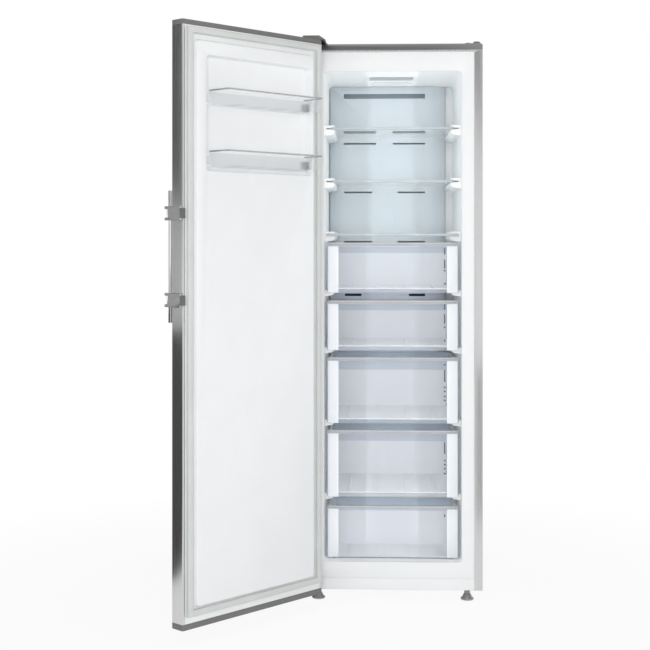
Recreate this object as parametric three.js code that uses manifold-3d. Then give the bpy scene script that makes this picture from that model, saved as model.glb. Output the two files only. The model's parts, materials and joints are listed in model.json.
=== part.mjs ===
// Upright freezer with its door open, in millimetres, +Z up, front facing -Y.
// X is right, Y is back from the cabinet's front plane, Z is up from the floor.
import * as THREE from 'three';
import { mergeVertices } from 'three/addons/utils/BufferGeometryUtils.js';
import Module from 'manifold-3d';

const wasm = await Module();
wasm.setup();

// ---------------------------------------------------------------- driving dimensions

const clearance = 0.3;
const cutThrough = 2;
const cornerSteps = 3;

// Cabinet shell
const cabinetWidth = 595;
const cabinetDepth = 583;
const cabinetTop = 1850;
const cabinetBottom = 36;
const shellSheet = 1.5;
const shellCornerRadius = 6;
const frontReturn = 27.5;
const rearFlange = 12;
const backSheet = 1;
const backBeadDepth = 1.3;
const backBeadWidth = 34;
const backBeadSpacing = 150;
const backBeadMargin = 30;

// Cavity and liner
const sideInsulation = 68.1;
const cavityTaper = 3.4;
const cavityHalfFront = cabinetWidth / 2 - sideInsulation;
const cavityHalfBack = cavityHalfFront - cavityTaper;
const cavityFloor = 128;
const topInsulation = 90;
const backInsulation = 88;
const cavityCeiling = cabinetTop - topInsulation;
const cavityBack = cabinetDepth - backInsulation;
const cavityCornerRadius = 14;
const linerWall = 3;
const linerFlangeCover = 10;
const crossbarTop = 74;
const crossbarDepth = 12;
const ledgeReach = 33;
const ledgeHeight = 22;
const ledgeDraft = 8;
const ledgeFront = 66;
const ledgeBackMargin = 55;
const ledgeBack = cavityBack - ledgeBackMargin;
const grooveLip = 9;
const humpReach = 306;
const humpFront = cabinetDepth - humpReach;
const humpTop = 322;
const humpSlope = 10;

// Air duct on the back wall
const ductThickness = 45;
const ductLeftGap = 18;
const ductRightGap = 66;
const ductFront = cavityBack - ductThickness;
const ductLeft = ductLeftGap - cavityHalfBack;
const ductRight = cavityHalfBack - ductRightGap;
const ductBevelWidth = 36;
const ductBevelDepth = 18;
const ductDraft = 4;
const ductTopGap = 8;
const ductTop = cavityCeiling - ductTopGap;
const ductWall = 2.5;
const topSlotDrop = 27.5;
const ductSlots = [
  { z: ductTop - topSlotDrop, height: 17, spans: [[-173, 123]] },
  { z: 1593, height: 9, spans: [[-173, -56], [6, 123]] },
  { z: 1551, height: 6, spans: [[-173, -56], [6, 123]] },
  { z: 1373, height: 6, spans: [[-173, -70], [23, 123]] },
  { z: 1192, height: 6, spans: [[-173, -70], [23, 123]] },
  { z: 998, height: 9, spans: [[-170, -109], [64, 124]] },
];

// Ceiling lamp
const lampLeft = -78;
const lampRight = 71;
const lampFront = 170;
const lampDepth = 100;
const lampHeight = 12;

// Glass shelves, from the top
const glassThickness = 4;
const shelfTrimHeight = 9;
const shelfTrimDepth = 16;
const shelfTrimLap = 8;
const shelfBackGap = 4;
const shelfTrimGap = 25.4;
const lowShelfTrimGap = 9.4;
const topShelfDrop = 185.5;
const middleShelfDrop = 364;
const lowShelfDrop = 544;
const shelves = [
  { z: cavityCeiling - topShelfDrop, trimHalf: cavityHalfFront - shelfTrimGap, front: 52 },
  { z: cavityCeiling - middleShelfDrop, trimHalf: cavityHalfFront - shelfTrimGap, front: 52 },
  { z: cavityCeiling - lowShelfDrop, trimHalf: cavityHalfFront - lowShelfTrimGap, front: 45 },
];

// Drawers, from the top
const drawerSideGap = 9.4;
const drawerHalf = cavityHalfFront - drawerSideGap;
const drawerFrontFace = 45;
const drawerPanel = 3;
const drawerLip = 13;
const drawerWall = 2.5;
const drawerSeatRise = 9;
const drawerRimDrop = 4;
const drawerRimWidth = 4;
const drawerTubInset = 8;
const drawerTubHalf = drawerHalf - drawerTubInset;
const drawerTubDraft = 7;
const drawerTubRadius = 14;
const drawerTubBackGap = 4;
const lowDrawerTubBackGap = 13;
const drawerTubBack = ductFront - drawerTubBackGap;
const lowDrawerTubBack = humpFront - lowDrawerTubBackGap;
const drawerRibHeight = 3;
const drawerRibWidth = 8;
const drawerRibSpacing = 96;
const drawers = [
  { bottom: 1021, top: 1178 },
  { bottom: 828, top: 984 },
  { bottom: 583, top: 793 },
  { bottom: 335.5, top: 549 },
  { bottom: 133, top: 296 },
];

// Door
const doorGap = 14;
const doorThickness = 50.6;
const doorRise = 4;
const doorBottom = cabinetBottom + doorRise;
const doorTop = cabinetTop + doorRise;
const doorSheet = 1;
const doorReturn = 10;
const doorCornerRadius = 4;
const doorTopCapHeight = 15;
const doorBottomCapHeight = 18;
const doorOpenAngle = 131.5;
const pivotInset = 21;
const pivotX = pivotInset - cabinetWidth / 2;
const pivotY = -53.5;
const panelLeftMargin = 46;
const panelRightMargin = 41;
const panelBottomMargin = 62;
const panelTopMargin = 55;
const panelLeft = panelLeftMargin - cabinetWidth / 2;
const panelRight = cabinetWidth / 2 - panelRightMargin;
const panelBottom = doorBottom + panelBottomMargin;
const panelTop = doorTop - panelTopMargin;
const panelRaise = 12.5;
const panelDraft = 5;
const panelCornerRadius = 12;
const doorLinerWall = 2.5;
const recessLeftMargin = 12.5;
const recessRightMargin = 41.5;
const recessLeft = panelLeft + recessLeftMargin;
const recessRight = panelRight - recessRightMargin;
const recessBottom = 1405;
const recessTopMargin = 44;
const recessTop = panelTop - recessTopMargin;
const recessDepth = 29;
const recessDraft = 3;
const gasketInset = 12;
const gasketOuterHalf = cabinetWidth / 2 - gasketInset;
const gasketWidth = 22;
const gasketBottomMargin = 38;
const gasketTopMargin = 19;
const gasketBottom = doorBottom + gasketBottomMargin;
const gasketTop = doorTop - gasketTopMargin;
const gasketFaceGap = 0.9;

// Door baskets
const basketLeftGap = 19;
const basketRightGap = 26.5;
const basketLeft = recessLeft + basketLeftGap;
const basketRight = recessRight - basketRightGap;
const basketReach = 82;
const basketWall = 2.5;
const basketRadius = 10;
const basketEarHeight = 26;
const basketEarDepth = 16;
const basketBossHeight = 8;
const basketBossReach = 11;
const railDiameter = 5;
const railBend = 12;
const baskets = [
  { name: 'upper', railZ: 1650, bottom: 1603 },
  { name: 'lower', railZ: 1466, bottom: 1417 },
];

// Handle
const handleBarWidth = 22;
const handleBarThickness = 13;
const handleBarInset = 29;
const handleStandOff = 27;
const handleBottom = 949;
const handleTop = 1347;
const bracketHeight = 42;
const bracketSide = 12;
const bracketFront = 22;
const bracketReach = 46;
const bracketCheek = 8;
const bracketRadius = 5;
const brackets = [
  { name: 'upper', bottom: 1256.5 },
  { name: 'lower', bottom: 998 },
];
const handlePinRadius = 3;
const handlePinInset = 4;
const handleArmThickness = 9;
const pusherThickness = 4;
const pusherHeight = 30;
const pusherReach = 9;
const pusherPinRadius = 3;
const pusherPinLength = 24;
const pusherTravel = 8;

// Hinges
const hingePinRadius = 5;
const hingePlate = 3;
const hingePlateHalf = 14;
const hingePlateRear = 66;
const hingeCollarRadius = 9;
const hingePinDepth = 11;
const hingeCoverRise = 19;
const hingeCoverTop = cabinetTop + hingeCoverRise;
const hingeCoverWall = 2;
const hingeCoverSlope = 24;

// Feet, rollers and base
const baseSheet = 1.5;
const footInset = 49.5;
const footX = cabinetWidth / 2 - footInset;
const footY = 30;
const footBaseRadius = 22;
const footStemRadius = 5;
const footBossRadius = 10;
const footBossHeight = 18;
const rollerInset = 65.5;
const rollerSetback = 38;
const rollerX = cabinetWidth / 2 - rollerInset;
const rollerY = cabinetDepth - rollerSetback;
const rollerRadius = 17;
const rollerWidth = 20;
const rollerAxleRadius = 3;
const rollerTab = 2;

// Machine room
const machineDepth = 265;
const machineFront = cabinetDepth - machineDepth;
const machineTop = 279;
const coverSheet = 1.2;
const compressorInset = 157.5;
const compressorSetback = 128;
const compressorX = cabinetWidth / 2 - compressorInset;
const compressorY = cabinetDepth - compressorSetback;
const compressorRadius = 82;
const compressorHeight = 168;
const compressorMountHeight = 12;
const compressorMountRadius = 11;
const compressorMountSpacing = 130;
const condenserInset = 27.5;
const condenserX = condenserInset - cabinetWidth / 2;
const condenserWidth = 130;
const condenserSetback = 60;
const condenserY = machineFront + condenserSetback;
const condenserDepth = 150;
const condenserHeight = 150;
const condenserRows = 4;
const condenserTube = 3;
const fanFrameGap = 30;
const fanFrameX = condenserX + condenserWidth + fanFrameGap;
const fanFrameThickness = 26;
const fanRadius = 62;
const fanHubRadius = 20;
const fanBladeCount = 5;
const trayHeight = 26;
const trayWidth = 130;
const trayWall = 2;
const pipeRadius = 4;
const glandInset = 72.5;
const glandRise = 42;
const glandX = cabinetWidth / 2 - glandInset;
const glandZ = cabinetBottom + glandRise;
const glandRadius = 11;
const glandBore = 4;

// Evaporator
const evaporatorSideGap = 34;
const evaporatorWidth = ductRight - ductLeft - 2 * evaporatorSideGap;
const evaporatorBottom = 560;
const evaporatorHeight = 260;
const evaporatorDepth = 32;
const evaporatorFins = 15;
const evaporatorRows = 5;
const coldFanZ = 1085;
const coldFanRadius = 55;
const coldFanMotorRadius = 22;
const coldFanMotorDepth = 18;
const coldFanBladeCount = 7;

// ---------------------------------------------------------------- derived dimensions

const cabinetHalf = cabinetWidth / 2;
const shellInner = cabinetHalf - shellSheet;
const foamHalf = shellInner - clearance;
const foamBack = cabinetDepth - shellSheet - backSheet - 2 * clearance;
const flangeFront = shellSheet + clearance;
const flangeBack = flangeFront + linerWall;
const flangeHalf = cabinetHalf - frontReturn + linerFlangeCover;
const ledgeHalf = cavityHalfFront - ledgeReach;
const doorBackFace = -doorGap;
const doorFrontFace = -doorGap - doorThickness;
const doorMetalBottom = doorBottom + doorBottomCapHeight;
const doorMetalTop = doorTop - doorTopCapHeight;
const panelFace = doorBackFace + panelRaise;
const recessFloor = panelFace - recessDepth;
const basePlateTop = cabinetBottom + baseSheet;
const ductCentre = (ductLeft + ductRight) / 2;
const evaporatorPitch = evaporatorWidth / (evaporatorFins - 1);
const sides = [-1, 1];

// ---------------------------------------------------------------- materials

function finish(color, roughness, metalness, opacity = 1) {
  return new THREE.MeshStandardMaterial({ color, roughness, metalness, opacity, transparent: opacity < 1 });
}

const steelGrey = () => finish(0x9a9c9c, 0.4, 0.9);
const zinc = () => finish(0xb4b7b8, 0.45, 0.9);
const linerWhite = () => finish(0xeff4f6, 0.35, 0);
const capGrey = () => finish(0x6a6b6a, 0.5, 0);
const paleGrey = () => finish(0xcfd6dc, 0.45, 0);
const foamYellow = () => finish(0xe6d9a6, 0.9, 0);
const clearPlastic = () => finish(0xdfe8f0, 0.15, 0, 0.45);
const tubPlastic = () => finish(0xe4eaf2, 0.3, 0, 0.75);
const glassGreen = () => finish(0xd3e4e2, 0.08, 0, 0.4);
const softGrey = () => finish(0xd9dcda, 0.8, 0);
const blackSteel = () => finish(0x202224, 0.5, 0.4);
const darkPlastic = () => finish(0x3a3d40, 0.5, 0);
const copper = () => finish(0xb5704a, 0.35, 0.9);
const brightMetal = () => finish(0xc4c6c8, 0.25, 1);

// ---------------------------------------------------------------- geometry helpers

function signedVolume(positions, triangles) {
  const corner = (i) => new THREE.Vector3().fromArray(positions, 3 * triangles[i]);
  let sum = 0;
  for (let i = 0; i < triangles.length; i += 3) {
    sum += corner(i).dot(corner(i + 1).cross(corner(i + 2)));
  }
  return sum / 6;
}

// A closed three.js geometry as a solid that can be joined and cut, faces pointing out.
function solid(geometry) {
  geometry.deleteAttribute('normal');
  geometry.deleteAttribute('uv');
  const merged = mergeVertices(geometry, 1e-4);
  const positions = new Float32Array(merged.attributes.position.array);
  const triangles = new Uint32Array(merged.index.array);
  if (signedVolume(positions, triangles) < 0) {
    triangles.reverse();
  }
  return new wasm.Manifold(new wasm.Mesh({ numProp: 3, vertProperties: positions, triVerts: triangles }));
}

function geometryOf(body) {
  const mesh = body.getMesh();
  const geometry = new THREE.BufferGeometry();
  geometry.setAttribute('position', new THREE.BufferAttribute(new Float32Array(mesh.vertProperties), 3));
  geometry.setIndex(new THREE.BufferAttribute(new Uint32Array(mesh.triVerts), 1));
  return geometry;
}

function block([x0, x1], [y0, y1], [z0, z1]) {
  const box = new THREE.BoxGeometry(x1 - x0, y1 - y0, z1 - z0);
  box.translate((x0 + x1) / 2, (y0 + y1) / 2, (z0 + z1) / 2);
  return solid(box);
}

// Columns send an outline's two axes and its extrusion onto the part's axes.
const extrusionFrames = {
  x: new THREE.Matrix4().set(0, 0, 1, 0, 1, 0, 0, 0, 0, 1, 0, 0, 0, 0, 0, 1),
  y: new THREE.Matrix4().set(1, 0, 0, 0, 0, 0, 1, 0, 0, 1, 0, 0, 0, 0, 0, 1),
  z: new THREE.Matrix4(),
};

// Extrudes an outline along an axis: (y, z) along x, (x, z) along y, (x, y) along z.
function extrude(points, axis, from, to) {
  const shape = new THREE.Shape(points.map(([u, v]) => new THREE.Vector2(u, v)));
  const geometry = new THREE.ExtrudeGeometry(shape, { depth: to - from, bevelEnabled: false });
  geometry.translate(0, 0, from);
  geometry.applyMatrix4(extrusionFrames[axis]);
  return solid(geometry);
}

// Corner points of a rectangle with round corners, anticlockwise.
function roundedOutline([u0, u1], [v0, v1], radius, steps = cornerSteps) {
  const corners = [
    [u1 - radius, v0 + radius, -90],
    [u1 - radius, v1 - radius, 0],
    [u0 + radius, v1 - radius, 90],
    [u0 + radius, v0 + radius, 180],
  ];
  const points = [];
  for (const [u, v, start] of corners) {
    for (let i = 0; i <= steps; i += 1) {
      const angle = THREE.MathUtils.degToRad(start + (90 * i) / steps);
      points.push([u + radius * Math.cos(angle), v + radius * Math.sin(angle)]);
    }
  }
  return points;
}

// A closed body through rings of equally many points. A looped body has no end caps.
function throughRings(rings, looped = false) {
  const count = rings[0].length;
  const positions = rings.flat(2);
  const triangles = [];
  const last = looped ? rings.length : rings.length - 1;
  for (let r = 0; r < last; r += 1) {
    const near = r * count;
    const far = ((r + 1) % rings.length) * count;
    for (let i = 0; i < count; i += 1) {
      const j = (i + 1) % count;
      triangles.push(near + i, near + j, far + j, near + i, far + j, far + i);
    }
  }
  if (!looped) {
    const end = (rings.length - 1) * count;
    for (let i = 1; i < count - 1; i += 1) {
      triangles.push(0, i + 1, i, end, end + i, end + i + 1);
    }
  }
  const geometry = new THREE.BufferGeometry();
  geometry.setAttribute('position', new THREE.Float32BufferAttribute(positions, 3));
  geometry.setIndex(triangles);
  return solid(geometry);
}

const ringAtY = (outline, y) => outline.map(([x, z]) => [x, y, z]);
const ringAtZ = (outline, z) => outline.map(([x, y]) => [x, y, z]);

// A cylinder of given radius along an axis, through a point, between two values on that axis.
function rod(axis, [u, v], radius, from, to, sides = 16) {
  const circle = [];
  for (let i = 0; i < sides; i += 1) {
    const angle = (2 * Math.PI * i) / sides;
    circle.push([u + radius * Math.cos(angle), v + radius * Math.sin(angle)]);
  }
  return extrude(circle, axis, from, to);
}

// A body of revolution about a vertical axis, from [radius, z] points that start and end on it.
function turned(profile, [x, y], segments = 20) {
  const geometry = new THREE.LatheGeometry(profile.map(([r, z]) => new THREE.Vector2(r, z)), segments);
  geometry.rotateX(Math.PI / 2);
  geometry.translate(x, y, 0);
  return solid(geometry);
}

// A path of straight runs and bends, which takes one step along a run and a few round each bend.
class BentPath extends THREE.Curve {
  constructor(pieces) {
    super();
    this.pieces = pieces;
    this.steps = pieces.reduce((sum, piece) => sum + piece.steps, 0);
  }

  getPoint(t, target = new THREE.Vector3()) {
    let at = THREE.MathUtils.clamp(t, 0, 1) * this.steps;
    for (const { curve, steps } of this.pieces.slice(0, -1)) {
      if (at <= steps) {
        return curve.getPoint(at / steps, target);
      }
      at -= steps;
    }
    return this.pieces[this.pieces.length - 1].curve.getPoint(Math.min(at, 1), target);
  }

  getPointAt(u, target) {
    return this.getPoint(u, target);
  }

  getTangentAt(u, target) {
    return this.getTangent(u, target);
  }
}

// A round bar along a path of 3-D points whose corners are bent to the given radius.
function bentRod(points, radius, bend, sides = 8, bendSteps = 4) {
  const pieces = [];
  const corners = points.map((p) => new THREE.Vector3(...p));
  let start = corners[0];
  for (let i = 1; i < corners.length - 1; i += 1) {
    const before = corners[i].clone().add(corners[i - 1].clone().sub(corners[i]).setLength(bend));
    const after = corners[i].clone().add(corners[i + 1].clone().sub(corners[i]).setLength(bend));
    pieces.push({ curve: new THREE.LineCurve3(start, before), steps: 1 });
    pieces.push({ curve: new THREE.QuadraticBezierCurve3(before, corners[i], after), steps: bendSteps });
    start = after;
  }
  pieces.push({ curve: new THREE.LineCurve3(start, corners[corners.length - 1]), steps: 1 });
  const extrudePath = new BentPath(pieces);
  const section = [];
  for (let i = 0; i < sides; i += 1) {
    const angle = (2 * Math.PI * i) / sides;
    section.push(new THREE.Vector2(radius * Math.cos(angle), radius * Math.sin(angle)));
  }
  const settings = { steps: extrudePath.steps, bevelEnabled: false, extrudePath };
  return solid(new THREE.ExtrudeGeometry(new THREE.Shape(section), settings));
}

function joined(bodies) {
  return bodies.reduce((whole, body) => whole.add(body));
}

function without(body, cutters) {
  return cutters.reduce((rest, cutter) => rest.subtract(cutter), body);
}

// ---------------------------------------------------------------- assembly

const freezer = new THREE.Group();
const cabinet = new THREE.Group();
const hingeLine = new THREE.Group();
const door = new THREE.Group();
freezer.add(cabinet);
freezer.add(hingeLine);
hingeLine.add(door);
hingeLine.position.set(pivotX, pivotY, 0);
hingeLine.rotation.z = THREE.MathUtils.degToRad(-doorOpenAngle);
door.position.set(-pivotX, -pivotY, 0);

function place(name, body, material, parent = cabinet) {
  const mesh = new THREE.Mesh(geometryOf(body), material);
  mesh.name = name;
  parent.add(mesh);
}

// ---------------------------------------------------------------- cabinet shell

// The cabinet's outline from the front, square below and round at its top corners, inset all round.
function archOutline(inset, bottom) {
  const half = cabinetHalf - inset;
  const radius = Math.max(shellCornerRadius - inset, 1);
  const rounded = roundedOutline([-half, half], [bottom, cabinetTop - inset], radius);
  return [[-half, bottom], [half, bottom], ...rounded.filter(([, z]) => z > bottom + 2 * radius)];
}

function outerShell() {
  const below = cabinetBottom - cutThrough;
  const wrap = extrude(archOutline(0, cabinetBottom), 'y', 0, cabinetDepth);
  const inside = extrude(archOutline(shellSheet, below), 'y', shellSheet, cabinetDepth - shellSheet);
  const front = extrude(archOutline(frontReturn, below), 'y', -cutThrough, shellSheet + cutThrough);
  const rearFrom = cabinetDepth - shellSheet - cutThrough;
  const rear = extrude(archOutline(rearFlange, below), 'y', rearFrom, cabinetDepth + cutThrough);
  return without(wrap, [inside, front, rear]);
}

// The steel back has upright beads pressed outward, which stiffen it.
function backPanel() {
  const inner = foamBack + clearance;
  const outer = inner + backSheet;
  const bottom = machineTop + clearance;
  const arch = archOutline(shellSheet + clearance, bottom);
  const beads = [-1, 0, 1].map((step) => [step * backBeadSpacing - backBeadWidth / 2, step * backBeadSpacing + backBeadWidth / 2]);
  const ridge = ([x0, x1], from, to, margin) => extrude(
    [
      [x0, from], [x1, from], [x1 - 2 * backBeadDepth, to], [x0 + 2 * backBeadDepth, to],
    ],
    'z',
    bottom + margin,
    cabinetTop - rearFlange - margin,
  );
  const outside = beads.map((span) => ridge(span, outer - backSheet / 2, outer + backBeadDepth, backBeadMargin));
  const inside = beads.map(([x0, x1]) => ridge(
    [x0 + backSheet, x1 - backSheet],
    inner - backSheet,
    inner + backBeadDepth,
    backBeadMargin + backSheet,
  ));
  return without(joined([extrude(arch, 'y', inner, outer), ...outside]), inside);
}

// ---------------------------------------------------------------- liner

// The cavity as a tapering block, grown outward by a distance.
function cavityBlock(grow, front, back) {
  const halfAt = (y) => {
    const share = y / cavityBack;
    return cavityHalfFront + (cavityHalfBack - cavityHalfFront) * share + grow;
  };
  const height = [cavityFloor - grow, cavityCeiling + grow];
  const radius = cavityCornerRadius + grow;
  const ring = (y) => ringAtY(roundedOutline([-halfAt(y), halfAt(y)], height, radius), y);
  return throughRings([ring(front), ring(back)]);
}

// The compressor hump, inset inward by a distance, reaching past the cavity's back.
function humpBlock(inset) {
  const below = cavityFloor - 4 * linerWall;
  const rear = cavityBack + 4 * linerWall;
  const outline = [
    [humpFront + inset, below],
    [humpFront + inset + humpSlope, humpTop - humpSlope - inset],
    [humpFront + inset + 2 * humpSlope, humpTop - inset],
    [rear, humpTop - inset],
    [rear, below],
  ];
  const half = cavityHalfFront + 2 * linerWall;
  return extrude(outline, 'x', -half, half);
}

const drawerSeat = (drawer) => (
  drawer.bottom - cavityFloor < drawerSeatRise ? cavityFloor + clearance : drawer.bottom + drawerSeatRise
);
const glassBottom = (shelf) => shelf.z - glassThickness / 2;

function ledge(side, top, lip) {
  const wall = cavityHalfFront + 2 * linerWall;
  const outline = [
    [side * wall, top - ledgeHeight],
    [side * (ledgeHalf + ledgeDraft), top - ledgeHeight + ledgeDraft / 2],
    [side * ledgeHalf, top - ledgeHeight / 2],
    [side * ledgeHalf, top + lip],
    [side * wall, top + lip],
  ];
  return extrude(outline, 'y', ledgeFront, ledgeBack);
}

function glassGroove(side, shelf) {
  const bottom = glassBottom(shelf) - clearance;
  const span = [ledgeHalf - cutThrough, cavityHalfBack - linerWall];
  const xs = side < 0 ? [-span[1], -span[0]] : span;
  const ends = [ledgeFront - cutThrough, ledgeBack + cutThrough];
  return block(xs, ends, [bottom, bottom + glassThickness + 2 * clearance]);
}

function innerLiner() {
  const outer = without(cavityBlock(linerWall, flangeFront, cavityBack + linerWall), [humpBlock(linerWall)]);
  const hollow = without(cavityBlock(0, flangeFront - cutThrough, cavityBack), [humpBlock(0)]);
  const flangeTop = cabinetTop - frontReturn + linerFlangeCover;
  const flange = block([-flangeHalf, flangeHalf], [flangeFront, flangeBack], [crossbarTop + clearance, flangeTop]);
  const shell = outer.add(flange).subtract(hollow);
  const envelope = cavityBlock(linerWall, flangeFront, cavityBack);
  const ledges = [];
  const grooves = [];
  for (const side of sides) {
    for (const drawer of drawers.slice(0, -1)) {
      ledges.push(ledge(side, drawerSeat(drawer) - clearance, 0));
    }
    for (const shelf of shelves) {
      ledges.push(ledge(side, glassBottom(shelf) - clearance, glassThickness + grooveLip));
      grooves.push(glassGroove(side, shelf));
    }
  }
  return without(shell.add(joined(ledges).intersect(envelope)), grooves);
}

function cabinetFoam() {
  const gap = linerWall + clearance;
  const top = cabinetTop - shellSheet - clearance;
  const frontLow = footY + footBossRadius + 2 * clearance;
  const upper = block([-foamHalf, foamHalf], [flangeBack + clearance, foamBack], [crossbarTop + clearance, top]);
  const lower = block(
    [-foamHalf, foamHalf],
    [frontLow, machineFront],
    [basePlateTop + clearance, crossbarTop + cutThrough],
  );
  const cavity = without(cavityBlock(gap, flangeFront, cavityBack + gap), [humpBlock(gap)]);
  const machineRoom = block(
    [-cabinetHalf, cabinetHalf],
    [machineFront, cabinetDepth],
    [cabinetBottom, machineTop],
  );
  const outline = extrude(archOutline(shellSheet + clearance, cabinetBottom), 'y', 0, cabinetDepth);
  return without(upper.add(lower), [cavity, machineRoom]).intersect(outline);
}

function frontCrossbar() {
  const back = flangeFront + crossbarDepth;
  const wall = linerWall;
  const bottom = cabinetBottom;
  const bar = block([-flangeHalf, flangeHalf], [flangeFront, back], [bottom, crossbarTop]);
  const channel = block(
    [-flangeHalf + wall, flangeHalf - wall],
    [flangeFront + wall, back + cutThrough],
    [bottom + wall, crossbarTop - wall],
  );
  return bar.subtract(channel);
}

// ---------------------------------------------------------------- air duct, lamp and evaporator

function ductOutline(inset, back) {
  const bevelRight = ductRight + ductBevelWidth;
  return [
    [ductLeft + inset, ductFront + inset],
    [ductRight - inset / 2, ductFront + inset],
    [bevelRight - inset, ductFront + ductBevelDepth + inset / 2],
    [bevelRight + ductDraft - inset, back],
    [ductLeft - ductDraft + inset, back],
  ];
}

function ductCover() {
  const back = cavityBack - clearance;
  const shell = extrude(ductOutline(0, back), 'z', humpTop + clearance, ductTop);
  const inside = extrude(ductOutline(ductWall, back + cutThrough), 'z', humpTop, ductTop - ductWall);
  const slots = [];
  for (const { z, height, spans } of ductSlots) {
    for (const span of spans) {
      const depth = [ductFront - cutThrough, ductFront + ductWall + cutThrough];
      slots.push(block(span, depth, [z - height / 2, z + height / 2]));
    }
  }
  return without(shell, [inside, ...slots]);
}

// A low channel-shaped diffuser under the ceiling, with a slot along its middle.
function ceilingLampCover() {
  const top = cavityCeiling - clearance;
  const slope = lampHeight / 2;
  const back = lampFront + lampDepth;
  const outline = [
    [lampFront, top],
    [lampFront + slope, top - lampHeight],
    [back - slope, top - lampHeight],
    [back, top],
  ];
  const bar = extrude(outline, 'x', lampLeft, lampRight);
  const slotHalf = lampHeight / 4;
  const middle = (lampFront + back) / 2;
  const slot = block(
    [lampLeft + lampHeight, lampRight - lampHeight],
    [middle - slotHalf, middle + slotHalf],
    [top - lampHeight - cutThrough, top - lampHeight / 2],
  );
  return bar.subtract(slot);
}

// Fins stand on a core block, and tube bends stand out at both ends of every row.
function evaporatorCoil() {
  const back = cavityBack - clearance;
  const front = back - evaporatorDepth;
  const half = evaporatorWidth / 2;
  const z1 = evaporatorBottom + evaporatorHeight;
  const middle = (front + back) / 2;
  const bodies = [
    block([ductCentre - half, ductCentre + half], [middle - 2.9, middle + 2.9], [evaporatorBottom + 5, z1 - 5]),
  ];
  for (let i = 0; i < evaporatorFins; i += 1) {
    const x = ductCentre - half + i * evaporatorPitch;
    bodies.push(block([x - 0.6, x + 0.6], [front, back], [evaporatorBottom, z1]));
  }
  const rise = evaporatorHeight / evaporatorRows;
  for (let row = 0; row < evaporatorRows; row += 1) {
    const z = evaporatorBottom + rise * (row + 0.25);
    for (const side of sides) {
      const x = ductCentre + side * half;
      const out = side * rise * 0.35;
      const bend = [[x - out, middle, z], [x + out, middle, z], [x + out, middle, z + rise / 2], [x - out, middle, z + rise / 2]];
      bodies.push(bentRod(bend, pipeRadius, rise * 0.2, 6, 2));
    }
  }
  return joined(bodies);
}

// A fan wheel about a point: a hub with pitched blades, on an axis along x or y.
function fanWheel(axis, [a, b], radius, hubRadius, from, to, blades) {
  const depth = to - from;
  const hub = rod('z', [0, 0], hubRadius, 0, depth);
  const bore = rod('z', [0, 0], pusherPinRadius + clearance, -cutThrough, depth + cutThrough, 12);
  const parts = [hub];
  for (let i = 0; i < blades; i += 1) {
    const outline = roundedOutline([hubRadius - 3, radius], [-radius * 0.3, radius * 0.3], radius * 0.2, 2);
    const blade = extrude(outline, 'z', -0.8, 0.8)
      .rotate([32, 0, 0])
      .translate([0, 0, depth / 2])
      .rotate([0, 0, (360 * i) / blades]);
    parts.push(blade);
  }
  const disc = rod('z', [0, 0], radius, 0, depth, 48);
  const wheel = joined(parts).intersect(disc).subtract(bore);
  if (axis === 'y') {
    return wheel.rotate([-90, 0, 0]).translate([a, from, b]);
  }
  return wheel.rotate([0, 90, 0]).translate([from, a, b]);
}

// A heater rod hangs from the coil's underside and melts its frost.
function defrostHeater() {
  const y = cavityBack - clearance - evaporatorDepth / 2;
  const half = evaporatorWidth / 2 - evaporatorPitch;
  const top = evaporatorBottom - clearance;
  const low = evaporatorBottom - 20;
  return bentRod([
    [ductCentre - half, y, top], [ductCentre - half, y, low],
    [ductCentre + half, y, low], [ductCentre + half, y, top],
  ], pipeRadius, 10);
}

function coldFanMotor() {
  const back = cavityBack - clearance;
  const front = back - coldFanMotorDepth;
  const can = rod('y', [ductCentre, coldFanZ], coldFanMotorRadius, front, back);
  const shaft = rod('y', [ductCentre, coldFanZ], pusherPinRadius, ductFront + 2 * ductWall, front + cutThrough, 12);
  return can.add(shaft);
}

function coldFanBlades() {
  const front = ductFront + 2 * ductWall;
  const back = cavityBack - clearance - coldFanMotorDepth - clearance;
  return fanWheel('y', [ductCentre, coldFanZ], coldFanRadius, coldFanMotorRadius, front, back, coldFanBladeCount);
}

// ---------------------------------------------------------------- shelves and drawers

function shelfGlass(shelf) {
  const bottom = glassBottom(shelf);
  const half = cavityHalfBack - linerWall - clearance;
  const nose = shelf.trimHalf - linerWall;
  const front = shelf.front + shelfTrimDepth - shelfTrimLap;
  const shoulder = ledgeFront + clearance;
  const back = ductFront - shelfBackGap;
  const outline = [
    [-nose, front], [nose, front], [nose, shoulder], [half, shoulder],
    [half, back], [-half, back], [-half, shoulder], [-nose, shoulder],
  ];
  return extrude(outline, 'z', bottom, bottom + glassThickness);
}

// The front edge trim wraps the glass in a slot and has a rounded nose.
function shelfTrim(shelf) {
  const half = shelfTrimHeight / 2;
  const back = Math.min(shelf.front + shelfTrimDepth, ledgeFront - clearance);
  const lapFront = shelf.front + shelfTrimDepth - shelfTrimLap - clearance;
  const slotHalf = glassThickness / 2 + clearance;
  const outline = [
    [back, shelf.z - half], [back, shelf.z - slotHalf], [lapFront, shelf.z - slotHalf],
    [lapFront, shelf.z + slotHalf], [back, shelf.z + slotHalf], [back, shelf.z + half],
    [shelf.front + 2, shelf.z + half], [shelf.front, shelf.z + half - 2],
    [shelf.front, shelf.z - half + 2], [shelf.front + 2, shelf.z - half],
  ];
  return extrude(outline, 'x', -shelf.trimHalf, shelf.trimHalf);
}

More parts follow.
